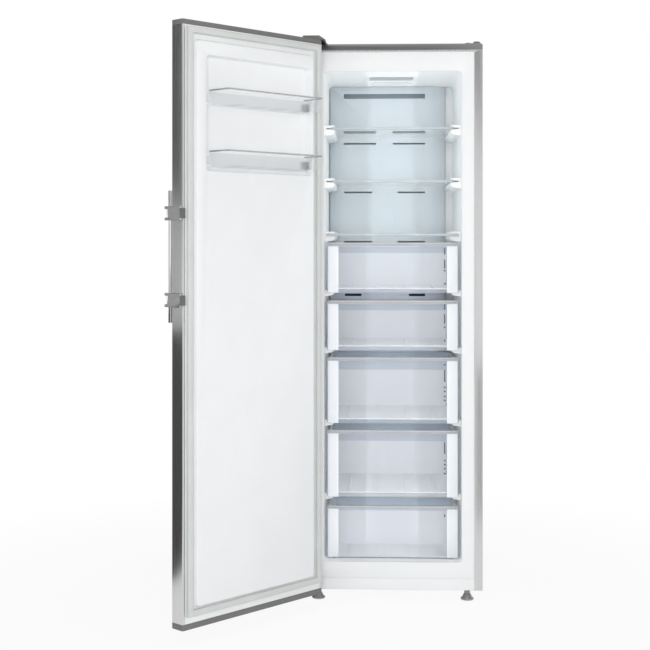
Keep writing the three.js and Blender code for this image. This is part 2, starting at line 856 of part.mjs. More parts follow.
// The tub tapers downward, is open at its front, and has a rim, floor ribs and a raised front bead.
function drawerTub(drawer) {
  const low = drawer === drawers[drawers.length - 1];
  const bottom = drawerSeat(drawer);
  const top = drawer.top - drawerRimDrop;
  const front = drawerFrontFace + drawerPanel + clearance;
  const back = low ? lowDrawerTubBack : drawerTubBack;
  const ring = (inset, z) => {
    const xs = [-drawerTubHalf + inset, drawerTubHalf - inset];
    return ringAtZ(roundedOutline(xs, [front + inset, back - inset], drawerTubRadius), z);
  };
  const outer = throughRings([ring(drawerTubDraft, bottom), ring(0, top)]);
  const inner = throughRings([
    ring(drawerTubDraft + drawerWall, bottom + drawerWall),
    ring(drawerWall, top + clearance),
  ]);
  const rim = extrude(
    roundedOutline(
      [-drawerTubHalf - drawerRimWidth, drawerTubHalf + drawerRimWidth],
      [front, back],
      drawerTubRadius,
    ),
    'z',
    top - drawerWall,
    top,
  );
  const mouthHalf = drawerTubHalf - drawerTubDraft - drawerTubRadius;
  const mouth = block([-mouthHalf, mouthHalf], [front - cutThrough, front + drawerTubRadius], [
    bottom + 3 * drawerWall,
    top + cutThrough,
  ]);
  const cheeks = sides.map((side) => {
    const xs = [side * (drawerTubHalf - drawerTubDraft - 2), side * (drawerTubHalf - drawerTubRadius - 6)];
    return block([Math.min(...xs), Math.max(...xs)], [front, front + drawerWall], [bottom, top]);
  });
  const ribs = [-1.5, -0.5, 0.5, 1.5].map((step) => {
    const x = step * drawerRibSpacing;
    const ys = [front + 4 * drawerWall, back - drawerTubDraft - drawerTubRadius];
    return block([x - drawerRibWidth / 2, x + drawerRibWidth / 2], ys, [
      bottom + drawerWall / 2,
      bottom + drawerWall + drawerRibHeight,
    ]);
  });
  const tub = without(outer.add(rim), [inner, mouth]);
  return joined([tub, ...cheeks, ...ribs]);
}

// The clear front has a pull lip folded inward along its top and a stiff edge all round.
function drawerFront(drawer) {
  const front = drawerFrontFace;
  const panel = extrude(
    roundedOutline([-drawerHalf, drawerHalf], [drawer.bottom, drawer.top], 5),
    'y',
    front,
    front + drawerPanel,
  );
  const top = drawer.top;
  const lipOutline = [
    [front - drawerLip, top - 1], [front - drawerLip, top - 5], [front - drawerLip + 2, top - 5],
    [front - drawerLip + 2, top - 3], [front + 1, top - 5], [front + 1, top],
    [front - drawerLip + 1, top],
  ];
  const lip = extrude(lipOutline, 'x', -drawerHalf + 6, drawerHalf - 6);
  const edge = sides.map((side) => {
    const xs = [side * drawerHalf, side * (drawerHalf - 2.5)];
    return block([Math.min(...xs), Math.max(...xs)], [front - 3, front + 1], [drawer.bottom + 5, top - 5]);
  });
  return joined([panel, lip, ...edge]);
}

// ---------------------------------------------------------------- base, feet and rollers

function basePlate() {
  const front = flangeFront + crossbarDepth + clearance;
  const rear = foamBack;
  const plate = block([-foamHalf, foamHalf], [front, rear], [cabinetBottom, basePlateTop]);
  const parts = [plate];
  const holes = [];
  for (const side of sides) {
    const x = side * footX;
    parts.push(rod('z', [x, footY], footBossRadius, cabinetBottom, basePlateTop + footBossHeight));
    holes.push(rod('z', [x, footY], footStemRadius + clearance, 0, basePlateTop + footBossHeight + cutThrough));
    const flange = [side * foamHalf, side * (foamHalf - baseSheet)];
    parts.push(block(
      [Math.min(...flange), Math.max(...flange)],
      [machineFront + cutThrough, rear],
      [cabinetBottom, basePlateTop + footBossHeight],
    ));
    const wheel = side * rollerX;
    const inner = rollerWidth / 2 + 2 * clearance;
    for (const end of sides) {
      const tabFace = [wheel + end * inner, wheel + end * (inner + rollerTab)];
      const tab = extrude([
        [rollerY - 14, basePlateTop], [rollerY - 14, cabinetBottom], [rollerY - 8, rollerRadius - 7],
        [rollerY + 8, rollerRadius - 7], [rollerY + 14, cabinetBottom], [rollerY + 14, basePlateTop],
      ], 'x', Math.min(...tabFace), Math.max(...tabFace));
      parts.push(tab);
    }
    const reach = inner + rollerTab;
    parts.push(rod('x', [rollerY, rollerRadius], rollerAxleRadius, wheel - reach, wheel + reach, 10));
  }
  return without(joined(parts), holes);
}

function roller(side) {
  const x = side * rollerX;
  const half = rollerWidth / 2;
  const tyre = rod('x', [rollerY, rollerRadius], rollerRadius, x - half, x + half, 28);
  const grooves = sides.map((end) => {
    const face = [x + end * half, x + end * (half - 4)];
    const ring = [Math.min(...face), Math.max(...face)];
    return rod('x', [rollerY, rollerRadius], rollerRadius - 4, ...ring, 16)
      .subtract(rod('x', [rollerY, rollerRadius], rollerAxleRadius + 3, ring[0] - 1, ring[1] + 1, 10));
  });
  const bore = rod('x', [rollerY, rollerRadius], rollerAxleRadius + clearance, x - rollerWidth, x + rollerWidth, 10);
  return without(tyre, [...grooves, bore]);
}

// A levelling foot: a flared pad, a hexagonal collar to turn it by, and a threaded stem.
function foot(side) {
  const collarBottom = 20;
  const collarTop = cabinetBottom - hingePlate - 3 * clearance - 2;
  const stemTop = basePlateTop + footBossHeight + 4;
  const flare = turned([
    [0, 0], [footBaseRadius - 1.5, 0], [footBaseRadius, 1.5], [footBaseRadius, 5],
    [footBaseRadius - 6, 10], [footBaseRadius / 2 + 2, 17], [footBaseRadius / 2, collarBottom], [0, collarBottom],
  ], [side * footX, footY]);
  const collar = rod('z', [side * footX, footY], footBossRadius, collarBottom - 1, collarTop, 6);
  const stem = rod('z', [side * footX, footY], footStemRadius, collarTop - 1, stemTop);
  return joined([flare, collar, stem]);
}

// ---------------------------------------------------------------- hinges

function hingePlateOutline(rear) {
  const arc = [];
  for (let i = 0; i <= 8; i += 1) {
    const angle = THREE.MathUtils.degToRad(180 + (180 * i) / 8);
    arc.push([pivotX + hingePlateHalf * Math.cos(angle), pivotY + hingePlateHalf * Math.sin(angle)]);
  }
  return [...arc, [pivotX + hingePlateHalf + 22, pivotY + 40], [pivotX + hingePlateHalf + 22, rear], [pivotX - hingePlateHalf, rear]];
}

// The upper bracket is bent down onto the cabinet top behind the door and carries the upper pin.
function upperHingeBracket() {
  const seat = cabinetTop + clearance;
  const over = doorTop + 2;
  const stepY = flangeBack + 5;
  const front = pivotY - hingePlateHalf - 1;
  const profile = [
    [front, over], [stepY, over], [stepY + 8, seat], [hingePlateRear, seat],
    [hingePlateRear, seat + hingePlate], [stepY + 8 + 1, seat + hingePlate],
    [stepY + 1, over + hingePlate], [front, over + hingePlate],
  ];
  const bent = extrude(profile, 'x', -cabinetHalf, 0);
  const plan = extrude(hingePlateOutline(hingePlateRear), 'z', seat - 1, over + hingePlate + 1);
  const pin = rod('z', [pivotX, pivotY], hingePinRadius, doorTop - hingePinDepth, over + 1);
  return bent.intersect(plan).add(pin);
}

// The lower bracket is a plate under the base with the lower pin, its collar and a hole for the foot.
function lowerHingeBracket() {
  const top = cabinetBottom - clearance;
  const plate = extrude(hingePlateOutline(hingePlateRear), 'z', top - hingePlate, top);
  const collar = rod('z', [pivotX, pivotY], hingeCollarRadius, top - 1, doorBottom - clearance);
  const pin = rod('z', [pivotX, pivotY], hingePinRadius, top - 1, doorBottom + hingePinDepth);
  const hole = rod('z', [-footX, footY], footStemRadius + clearance, top - 2 * hingePlate, top + 1);
  return joined([plate, collar, pin]).subtract(hole);
}

// The cover is a hollow cap whose inner end slopes down to the cabinet top.
function upperHingeCover() {
  const left = -cabinetHalf + clearance;
  const right = pivotX + hingePlateHalf + 22 + hingeCoverWall + 2 * clearance;
  const front = pivotY - hingePlateHalf - hingeCoverWall - 2 * clearance;
  const rear = hingePlateRear + hingeCoverWall + 2 * clearance;
  const low = cabinetTop + clearance;
  const slopeStart = right - 4;
  const outline = (inset, base) => [
    [left + inset, base], [right + hingeCoverSlope - 2 * inset, base],
    [slopeStart - inset, hingeCoverTop - inset], [left + 3 + inset, hingeCoverTop - inset],
    [left + inset, hingeCoverTop - 4 - inset],
  ];
  const shell = extrude(outline(0, low), 'y', front, rear);
  const hollow = extrude(outline(hingeCoverWall, low - cutThrough), 'y', front + hingeCoverWall, rear - hingeCoverWall);
  const doorSweep = block([-cabinetWidth, 0], [front - 1, flangeBack], [low - cutThrough, doorTop + 1]);
  return without(shell, [hollow, doorSweep]);
}

// A low cover over the spare hinge holes on the other side, with two plugs standing on it.
function hingeHoleCover() {
  const seat = cabinetTop + clearance;
  const base = extrude(roundedOutline([238, 293], [6, 40], 4), 'z', seat, seat + 1.5);
  const small = turned([[0, seat], [9, seat], [9, seat + 3], [7, seat + 4], [0, seat + 4]], [250, 20]);
  const large = turned([[0, seat], [11.5, seat], [11.5, seat + 6], [8.5, seat + 8], [0, seat + 8]], [279, 20]);
  return joined([base, small, large]);
}

// ---------------------------------------------------------------- machine room

function machineRoomCover() {
  const face = foamBack + clearance;
  const sheet = block([-foamHalf, foamHalf], [face, face + coverSheet], [basePlateTop + clearance, machineTop]);
  const slots = [];
  const slotHeight = 6;
  const slotPitch = 21;
  for (let z = 100; z + slotPitch < machineTop - 15; z += slotPitch) {
    for (const x of [-250, -140, 60]) {
      slots.push(block([x, x + 90], [face - cutThrough, face + 2 * cutThrough], [z, z + slotHeight]));
    }
  }
  const gland = rod('y', [glandX, glandZ], glandRadius - 3 + clearance, face - cutThrough, face + 2 * cutThrough);
  return without(sheet, [...slots, gland]);
}

// The gland grips the cover's hole in a groove and has an open bore.
function cordGland() {
  const face = foamBack + clearance;
  const neck = rod('y', [glandX, glandZ], glandRadius - 3, face - 6, face + coverSheet + 3);
  const inner = rod('y', [glandX, glandZ], glandRadius, face - 6, face - clearance);
  const outer = rod('y', [glandX, glandZ], glandRadius, face + coverSheet + clearance, face + coverSheet + 3);
  const bore = rod('y', [glandX, glandZ], glandBore, face - 10, face + 10);
  return joined([neck, inner, outer]).subtract(bore);
}

const compressorBase = basePlateTop + clearance + compressorMountHeight;

// Radii, as a share of the can's radius, at heights given as a share of its height.
const canProfile = [[0.72, 0], [0.93, 0.1], [1, 0.24], [1, 0.56], [0.95, 0.78], [0.78, 0.91], [0.45, 0.985], [0.3, 1]];
const canStretch = 1.12;
const canSquash = 0.9;

// Half the can's length along X at a height.
function canReach(z) {
  const share = (z - compressorBase) / compressorHeight;
  const upper = canProfile.findIndex(([, height]) => height >= share);
  const [r0, h0] = canProfile[upper - 1];
  const [r1, h1] = canProfile[upper];
  return compressorRadius * canStretch * (r0 + ((r1 - r0) * (share - h0)) / (h1 - h0));
}

// A welded steel can with a domed lid and a seam, on a foot plate with four rubber mounts.
function compressor() {
  const z = compressorBase;
  const points = canProfile.map(([r, height]) => [compressorRadius * r, z + compressorHeight * height]);
  const lid = z + compressorHeight;
  const seamZ = z + compressorHeight * 0.56;
  const can = turned([[0, z], ...points, [0, lid]], [0, 0], 24);
  const seam = rod('z', [0, 0], compressorRadius + 3, seamZ, seamZ + 7, 24);
  const body = can.add(seam).scale([canStretch, canSquash, 1]).translate([compressorX, compressorY, 0]);
  const reach = compressorMountSpacing / 2;
  const pad = compressorMountRadius + 4;
  const plate = extrude(
    roundedOutline(
      [compressorX - reach - pad, compressorX + reach + pad],
      [compressorY - reach - pad, compressorY + reach + pad],
      pad,
    ),
    'z',
    z - 1,
    z + 2,
  );
  const mountProfile = [
    [0, basePlateTop + clearance], [compressorMountRadius, basePlateTop + clearance],
    [compressorMountRadius, z - 5], [compressorMountRadius - 3, z - 3],
    [compressorMountRadius - 3, z + 5], [0, z + 5],
  ];
  const mounts = sides.flatMap((dx) => sides.map((dy) => (
    turned(mountProfile, [compressorX + dx * reach, compressorY + dy * reach], 10)
  )));
  return joined([body, plate, ...mounts]);
}

// Plates carried on bent tube rows, standing on two side plates.
function condenserCoil() {
  const x0 = condenserX;
  const x1 = condenserX + condenserWidth;
  const y1 = condenserY + condenserDepth;
  const z0 = basePlateTop + clearance;
  const z1 = z0 + condenserHeight;
  const bodies = sides.map((side) => {
    const x = side < 0 ? x0 : x1 - 2;
    return block([x, x + 2], [condenserY, y1], [z0, z1]);
  });
  const plates = 7;
  for (let i = 1; i < plates; i += 1) {
    const x = x0 + (condenserWidth * i) / plates;
    bodies.push(block([x - 0.5, x + 0.5], [condenserY + 6, y1 - 6], [z0 + 8, z1 - 8]));
  }
  const rise = condenserHeight / condenserRows;
  for (let row = 0; row < condenserRows; row += 1) {
    const z = z0 + rise * (row + 0.5);
    bodies.push(block([x0, x1], [condenserY + 20, condenserY + 26], [z - condenserTube, z + condenserTube]));
    bodies.push(block([x0, x1], [y1 - 26, y1 - 20], [z - condenserTube, z + condenserTube]));
  }
  return joined(bodies);
}

const hotFanCentre = [condenserY + condenserDepth / 2, basePlateTop + clearance + condenserHeight / 2];

function condenserFanFrame() {
  const [y, z] = hotFanCentre;
  const half = condenserHeight / 2;
  const x0 = fanFrameX;
  const x1 = fanFrameX + fanFrameThickness;
  const frame = extrude(roundedOutline([y - half, y + half], [z - half, z + half], 8), 'x', x0, x1);
  const duct = rod('x', [y, z], fanRadius + 3, x0 - cutThrough, x1 + cutThrough, 40);
  const motor = rod('x', [y, z], fanHubRadius, x1 - 9, x1);
  const shaft = rod('x', [y, z], pusherPinRadius, x0 + 3, x1 - 8, 12);
  const arms = [0, 60, 120].map((turn) => {
    const reach = fanRadius + 6;
    return block([x1 - 4, x1], [-reach, reach], [-4, 4]).rotate([turn, 0, 0]).translate([0, y, z]);
  });
  return joined([frame.subtract(duct), motor, shaft, ...arms]);
}

function condenserFanBlades() {
  const from = fanFrameX + 3;
  const to = fanFrameX + fanFrameThickness - 9 - clearance;
  return fanWheel('x', hotFanCentre, fanRadius, fanHubRadius, from, to, fanBladeCount);
}

// The drip tray rests on the compressor's lid, whose warmth dries it.
function dripTray() {
  const z = compressorBase + compressorHeight + clearance;
  const ring = (inset, at) => ringAtZ(roundedOutline(
    [compressorX - trayWidth / 2 + inset, compressorX + trayWidth / 2 - inset],
    [compressorY - trayWidth / 2 + inset, compressorY + trayWidth / 2 - inset],
    16,
  ), at);
  const outer = throughRings([ring(6, z), ring(0, z + trayHeight)]);
  const inner = throughRings([ring(6 + trayWall, z + trayWall), ring(trayWall, z + trayHeight + clearance)]);
  return outer.subtract(inner);
}

// The discharge pipe runs from the compressor round the fan frame to the condenser's first row.
function dischargePipe() {
  const z = compressorBase + 30;
  const start = compressorX - canReach(z + pipeRadius) - clearance;
  const rowZ = basePlateTop + clearance + condenserHeight / condenserRows / 2;
  const rowY = condenserY + 23;
  const plate = condenserX + condenserWidth;
  const across = condenserY - 28;
  const gapX = (plate + fanFrameX) / 2;
  return bentRod([
    [start, compressorY, z], [start - 30, compressorY, z], [start - 30, across, z],
    [gapX, across, z], [gapX, across, rowZ], [gapX, rowY, rowZ], [plate + clearance, rowY, rowZ],
  ], pipeRadius, 10, 8, 3);
}

// The suction pipe rises from the compressor into the insulation above it.
function suctionPipe() {
  const z = compressorBase + 50;
  const start = compressorX + canReach(z) + clearance;
  return bentRod([
    [start, compressorY, z], [start + 28, compressorY, z], [start + 28, compressorY, machineTop - clearance],
  ], pipeRadius, 12, 8, 4);
}

// ---------------------------------------------------------------- door

function doorOutline(inset) {
  return roundedOutline(
    [-cabinetHalf + inset, cabinetHalf - inset],
    [doorFrontFace + inset, doorBackFace - inset],
    Math.max(doorCornerRadius - inset, 1),
  );
}

// The steel front wraps both edges and turns in at the back.
function doorOuterPanel() {
  const wrap = extrude(doorOutline(0), 'z', doorMetalBottom, doorMetalTop);
  const low = doorMetalBottom - cutThrough;
  const high = doorMetalTop + cutThrough;
  const inside = extrude(doorOutline(doorSheet), 'z', low, high);
  const mouthHalf = cabinetHalf - doorReturn;
  const mouth = block([-mouthHalf, mouthHalf], [doorBackFace - cutThrough, doorBackFace + cutThrough], [low, high]);
  return without(wrap, [inside, mouth]);
}

// End caps have a skirt that plugs into the steel wrap and a blind hole for the hinge pin.
function doorCap(from, to, plugFrom, plugTo, holeFrom, holeTo) {
  const body = extrude(doorOutline(0), 'z', from, to);
  const skirt = extrude(doorOutline(doorSheet + clearance), 'z', plugFrom, plugTo);
  const skirtInside = extrude(doorOutline(doorSheet + 4), 'z', plugFrom - cutThrough, plugTo + cutThrough);
  const bushing = rod('z', [pivotX, pivotY], hingePinRadius + 5, Math.min(from, plugFrom), Math.max(to, plugTo));
  const bushingKept = bushing.intersect(extrude(doorOutline(doorSheet + clearance), 'z', plugFrom - 1, plugTo + 1));
  const hole = rod('z', [pivotX, pivotY], hingePinRadius + clearance, holeFrom, holeTo);
  const linerSide = block(
    [-cabinetHalf, cabinetHalf],
    [doorBackFace - doorLinerWall - clearance - doorSheet, doorBackFace + 1],
    [plugFrom, plugTo],
  );
  const plug = skirt.subtract(skirtInside).add(bushingKept).subtract(linerSide);
  return body.add(plug).subtract(hole);
}

function doorTopCap() {
  const from = doorMetalTop + clearance;
  const hole = doorTop - hingePinDepth - 1;
  return doorCap(from, doorTop, from - 10, from, hole, doorTop + 1);
}

function doorBottomCap() {
  const to = doorMetalBottom - clearance;
  const hole = doorBottom + hingePinDepth + 1;
  return doorCap(doorBottom, to, to, to + 10, doorBottom - 1, hole);
}

function panelLoft(shrink, base, face) {
  const ring = (inset, y) => ringAtY(roundedOutline(
    [panelLeft + inset, panelRight - inset],
    [panelBottom + inset, panelTop - inset],
    panelCornerRadius,
  ), y);
  return throughRings([ring(shrink, base), ring(shrink + panelDraft, face)]);
}

function recessLoft(grow) {
  const ring = (inset, y) => ringAtY(roundedOutline(
    [recessLeft - grow + inset, recessRight + grow - inset],
    [recessBottom - grow + inset, recessTop + grow - inset],
    panelCornerRadius,
  ), y);
  const open = grow > 0 ? panelFace : panelFace + cutThrough;
  return throughRings([ring(0, open), ring(recessDraft, recessFloor - grow)]);
}

// Ledges on the recess's side walls carry the baskets' ears.
function basketBoss(side, basket) {
  const wall = side < 0 ? recessLeft - 1 : recessRight + 1;
  const xs = [wall, wall - side * (basketBossReach + 1)];
  const top = basket.bottom + 10 - clearance;
  const outline = [
    [recessFloor - 1, top - basketBossHeight - 4], [panelFace - 4, top - basketBossHeight],
    [panelFace - 3, top - 1], [panelFace - 4, top], [recessFloor - 1, top],
  ];
  return extrude(outline, 'x', Math.min(...xs), Math.max(...xs));
}

function doorLiner() {
  const half = cabinetHalf - doorReturn - clearance;
  const flange = block([-half, half], [doorBackFace - doorLinerWall, doorBackFace], [
    doorMetalBottom + clearance / 2,
    doorMetalTop - clearance / 2,
  ]);
  const raised = panelLoft(0, doorBackFace - 1, panelFace);
  const hollow = panelLoft(doorLinerWall, doorBackFace - doorLinerWall - 1, panelFace - doorLinerWall);
  const recess = recessLoft(doorLinerWall).subtract(recessLoft(0));
  const within = recessLoft(doorLinerWall);
  const bosses = baskets.flatMap((basket) => sides.map((side) => basketBoss(side, basket).intersect(within)));
  const skin = flange.add(raised).subtract(hollow).subtract(recessLoft(0));
  return joined([skin, recess, ...bosses]);
}

function doorFoam() {
  const gap = doorSheet + clearance;
  const back = doorBackFace - doorLinerWall - clearance - doorSheet;
  const skirt = 10 + 2 * clearance;
  const whole = extrude(doorOutline(gap), 'z', doorMetalBottom + skirt, doorMetalTop - skirt);
  const core = whole.subtract(block(
    [-cabinetHalf, cabinetHalf],
    [back, doorBackFace + 1],
    [doorBottom, doorTop],
  ));
  const raised = panelLoft(doorLinerWall + 1, back - 1, panelFace - doorLinerWall - clearance);
  return core.add(raised).subtract(recessLoft(doorLinerWall + clearance));
}

// The seal is one mitred ring: a flat base, a folding waist and a magnet bulb.
function doorGasket() {
  const base = doorBackFace + clearance;
  const face = -gasketFaceGap;
  const w = gasketWidth;
  const section = [
    [0, base], [w, base], [w, base + 2.5], [w - 5, base + 3.5], [w - 6, base + 5], [w - 2, base + 7],
    [w - 2, face - 2], [w - 3.5, face], [3.5, face], [2, face - 2], [2, base + 7], [6, base + 5],
    [5, base + 3.5], [0, base + 2.5],
  ];
  const rings = section.map(([inset, y]) => {
    const half = gasketOuterHalf - inset;
    const corners = [[-half, gasketBottom + inset], [half, gasketBottom + inset]];
    return ringAtY([...corners, [half, gasketTop - inset], [-half, gasketTop - inset]], y);
  });
  return throughRings(rings, true);
}

// ---------------------------------------------------------------- door baskets

function basketTray(basket) {
  const top = basket.railZ - railDiameter / 2 - clearance;
  const back = recessFloor + 1;
  const ring = (inset, z) => ringAtZ(roundedOutline(
    [basketLeft + inset, basketRight - inset],
    [back + inset, basketReach - doorGap - inset],
    basketRadius,
  ), z);
  const outer = throughRings([ring(5, basket.bottom), ring(0, top)]);
  const inner = throughRings([ring(5 + basketWall, basket.bottom + basketWall), ring(basketWall, top + clearance)]);
  const earSpan = [
    [recessLeft + recessDraft + clearance, basketLeft + 8],
    [basketRight - 8, recessRight - recessDraft - clearance],
  ];
  const earBottom = basket.bottom + 10;
  const ears = earSpan.map((span) => {
    const ear = block(span, [back + 1, back + 1 + basketEarDepth], [earBottom, earBottom + basketEarHeight]);
    return ear.subtract(block(
      [span[0] + 3, span[1] - 3],
      [back + 4, back + basketEarDepth + 3],
      [earBottom + 4, earBottom + basketEarHeight + 1],
    ));
  });
  const tray = joined([outer, ...ears]).subtract(inner);
  const middle = (basketLeft + basketRight) / 2;
  const ribs = [-1.5, -0.5, 0.5, 1.5].map((step) => block(
    [middle + step * 90 - 2, middle + step * 90 + 2],
    [back + 10, basketReach - doorGap - 10],
    [basket.bottom + 1, basket.bottom + basketWall + 2],
  ));
  return joined([tray, ...ribs]);
}

// A bright rail lies on the basket's rim and bends back along both ends.
function basketRail(basket) {
  const half = basketWall / 2;
  const front = basketReach - doorGap - half;
  const rear = recessFloor + 12;
  const z = basket.railZ;
  return bentRod([
    [basketLeft + half, rear, z], [basketLeft + half, front, z],
    [basketRight - half, front, z], [basketRight - half, rear, z],
  ], railDiameter / 2, railBend);
}

// ---------------------------------------------------------------- handle

const barCentreX = cabinetHalf - handleBarInset;
const barBack = doorFrontFace - handleStandOff;
const barFront = barBack - handleBarThickness;
const handlePivot = [cabinetHalf + handlePinInset, doorFrontFace - handlePinInset - 8];

// Each bracket wraps the door's free edge; cheeks and a pin hold the lever of the bar.
function handleBracket({ bottom }) {
  const outer = cabinetHalf + bracketSide;
  const near = cabinetHalf + clearance;
  const front = doorFrontFace - bracketFront;
  const plan = [
    [outer - bracketRadius, front], [outer - 1.5, front + 1.5], [outer, front + bracketRadius],
    [outer, doorBackFace], [near, doorBackFace], [near, doorFrontFace - clearance],
    [near - bracketReach, doorFrontFace - clearance], [near - bracketReach, doorFrontFace - bracketFront / 2],
    [near - bracketReach + 6, front],
  ];
  const body = extrude(plan, 'z', bottom, bottom + bracketHeight);
  const slot = block(
    [near - bracketReach - 1, outer + 1],
    [front - 1, doorFrontFace - 3],
    [bottom + bracketCheek, bottom + bracketHeight - bracketCheek],
  );
  const pin = rod('z', handlePivot, handlePinRadius, bottom + 1, bottom + bracketHeight - 1, 16);
  const bore = rod(
    'y',
    [pusherPinX, bottom + bracketHeight / 2],
    pusherPinRadius + clearance,
    doorBackFace - pusherPinLength - 2,
    doorBackFace + 1,
    12,
  );
  return body.subtract(slot).subtract(bore).add(pin);
}

const pusherPinX = cabinetHalf + clearance + bracketSide / 2;

// The grip bar with one lever per bracket, each bored for the bracket's pin.
function handleBar() {
  const half = handleBarWidth / 2;
  const outline = roundedOutline([barCentreX - half, barCentreX + half], [barFront, barBack], 5);
  const parts = [extrude(outline, 'z', handleBottom, handleTop)];
  const bores = [];
  for (const { bottom } of brackets) {
    const low = bottom + bracketCheek + clearance;
    const high = bottom + bracketHeight - bracketCheek - clearance;
    const [px, py] = handlePivot;
    const rise = handleArmThickness / 2;
    const lever = [
      [barCentreX - half + 3, barBack - 3], [barCentreX + half - 1, barFront + 4],
      [px + 2, py - rise], [px + rise, py], [px + 2, py + rise - 0.5],
      [px - 4, py + rise], [barCentreX - half + 3, barBack + 3],
    ];
    parts.push(extrude(lever, 'z', low, high));
    bores.push(rod('z', handlePivot, handlePinRadius + clearance, low - 1, high + 1, 16));
  }
  return without(joined(parts), bores);
}

// A pusher plate lies against the door edge and slides on its pin toward the cabinet.
function handlePusher({ bottom }) {
  const middle = bottom + bracketHeight / 2;
  const back = doorBackFace + clearance;
  const outer = cabinetHalf + bracketSide;
  const plate = extrude([
    [cabinetHalf - pusherReach, back], [outer, back], [outer, back + pusherThickness - 1],
    [outer - 1, back + pusherThickness], [cabinetHalf - pusherReach + 2, back + pusherThickness],
    [cabinetHalf - pusherReach, back + pusherThickness - 2],
  ], 'z', middle - pusherHeight / 2, middle + pusherHeight / 2);
  const pin = rod('y', [pusherPinX, middle], pusherPinRadius, back - pusherPinLength, back + 1, 12);
  return plate.add(pin);
}

// ---------------------------------------------------------------- placing every piece

place('outer_shell', outerShell(), steelGrey());
place('back_panel', backPanel(), zinc());
place('inner_liner', innerLiner(), linerWhite());
place('cabinet_foam', cabinetFoam(), foamYellow());
place('base_plate', basePlate(), zinc());
place('front_crossbar', frontCrossbar(), linerWhite());
place('duct_cover', ductCover(), paleGrey());
place('ceiling_lamp_cover', ceilingLampCover(), darkPlastic());
place('evaporator', evaporatorCoil(), brightMetal());
place('defrost_heater', defrostHeater(), brightMetal());
place('evaporator_fan_motor', coldFanMotor(), darkPlastic());
place('evaporator_fan_blades', coldFanBlades(), linerWhite());

shelves.forEach((shelf, i) => {
  place(`shelf_glass_${i + 1}`, shelfGlass(shelf), glassGreen());
  place(`shelf_trim_${i + 1}`, shelfTrim(shelf), paleGrey());
});

drawers.forEach((drawer, i) => {
  place(`drawer_tub_${i + 1}`, drawerTub(drawer), tubPlastic());
  place(`drawer_front_${i + 1}`, drawerFront(drawer), clearPlastic());
});

place('machine_room_cover', machineRoomCover(), zinc());
place('cord_gland', cordGland(), darkPlastic());
place('compressor', compressor(), blackSteel());
place('condenser', condenserCoil(), blackSteel());
place('condenser_fan_frame', condenserFanFrame(), darkPlastic());
place('condenser_fan_blades', condenserFanBlades(), darkPlastic());
place('drip_tray', dripTray(), darkPlastic());
place('discharge_pipe', dischargePipe(), copper());
place('suction_pipe', suctionPipe(), copper());

place('hinge_hole_cover', hingeHoleCover(), capGrey());
place('upper_hinge_bracket', upperHingeBracket(), zinc());
place('upper_hinge_cover', upperHingeCover(), capGrey());
place('lower_hinge_bracket', lowerHingeBracket(), zinc());
for (const side of sides) {
  const where = side < 0 ? 'left' : 'right';
  place(`foot_${where}`, foot(side), darkPlastic());
  place(`roller_${where}`, roller(side), darkPlastic());
}

place('door_outer_panel', doorOuterPanel(), steelGrey(), door);
place('door_top_cap', doorTopCap(), capGrey(), door);
place('door_bottom_cap', doorBottomCap(), capGrey(), door);
place('door_foam', doorFoam(), foamYellow(), door);
place('door_liner', doorLiner(), linerWhite(), door);
place('door_gasket', doorGasket(), softGrey(), door);
for (const basket of baskets) {
  place(`basket_${basket.name}`, basketTray(basket), clearPlastic(), door);
  place(`basket_rail_${basket.name}`, basketRail(basket), brightMetal(), door);
}
place('handle_bar', handleBar(), steelGrey(), door);
for (const bracket of brackets) {
  place(`handle_bracket_${bracket.name}`, handleBracket(bracket), capGrey(), door);
  place(`handle_pusher_${bracket.name}`, handlePusher(bracket), darkPlastic(), door);
}

// The origin is the middle of the whole part's underside, with its door open.
freezer.updateMatrixWorld(true);
const reach = new THREE.Box3().setFromObject(freezer, true);
const middle = reach.getCenter(new THREE.Vector3());
freezer.position.set(-middle.x, -middle.y, -reach.min.z);

export default freezer;
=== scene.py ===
"""Looks for an upright freezer with its door open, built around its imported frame."""

import json
import math

import bmesh
import bpy
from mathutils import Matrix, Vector

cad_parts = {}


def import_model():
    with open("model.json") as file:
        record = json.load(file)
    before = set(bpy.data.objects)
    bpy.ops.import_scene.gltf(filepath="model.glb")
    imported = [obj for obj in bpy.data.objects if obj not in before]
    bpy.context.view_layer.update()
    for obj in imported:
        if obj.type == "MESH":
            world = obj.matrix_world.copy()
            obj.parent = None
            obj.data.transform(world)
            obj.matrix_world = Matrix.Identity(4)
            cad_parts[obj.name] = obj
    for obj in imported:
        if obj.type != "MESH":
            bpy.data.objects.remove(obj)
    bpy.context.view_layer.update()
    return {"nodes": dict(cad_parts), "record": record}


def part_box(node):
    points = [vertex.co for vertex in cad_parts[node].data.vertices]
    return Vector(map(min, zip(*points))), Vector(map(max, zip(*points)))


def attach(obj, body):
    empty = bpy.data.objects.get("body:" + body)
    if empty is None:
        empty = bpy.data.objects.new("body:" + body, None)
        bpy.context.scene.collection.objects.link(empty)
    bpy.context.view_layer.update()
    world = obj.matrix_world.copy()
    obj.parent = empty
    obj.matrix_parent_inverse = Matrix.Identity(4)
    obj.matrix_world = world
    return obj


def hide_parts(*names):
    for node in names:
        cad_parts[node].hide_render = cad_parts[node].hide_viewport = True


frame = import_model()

NODES = frame["nodes"]
MM = 0.001

# ---------------------------------------------------------------- places taken from the frame

shell_low, shell_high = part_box("outer_shell")
CENTRE_X = (shell_low.x + shell_high.x) / 2
FRONT_Y = shell_low.y
BODY_OF = {node: body for body, nodes in frame["record"]["behaviour"]["bodies"].items() for node in nodes}
SLOT_OF = {row["node"]: row["material_slot"] for row in frame["record"]["subparts"]}
SHELVES = range(1, 4)
DRAWERS = range(1, 6)


def cabinet(x, y, z):
    """A point given in mm from the cabinet's centre, front plane and floor."""
    return Vector((CENTRE_X + x * MM, FRONT_Y + y * MM, z * MM))


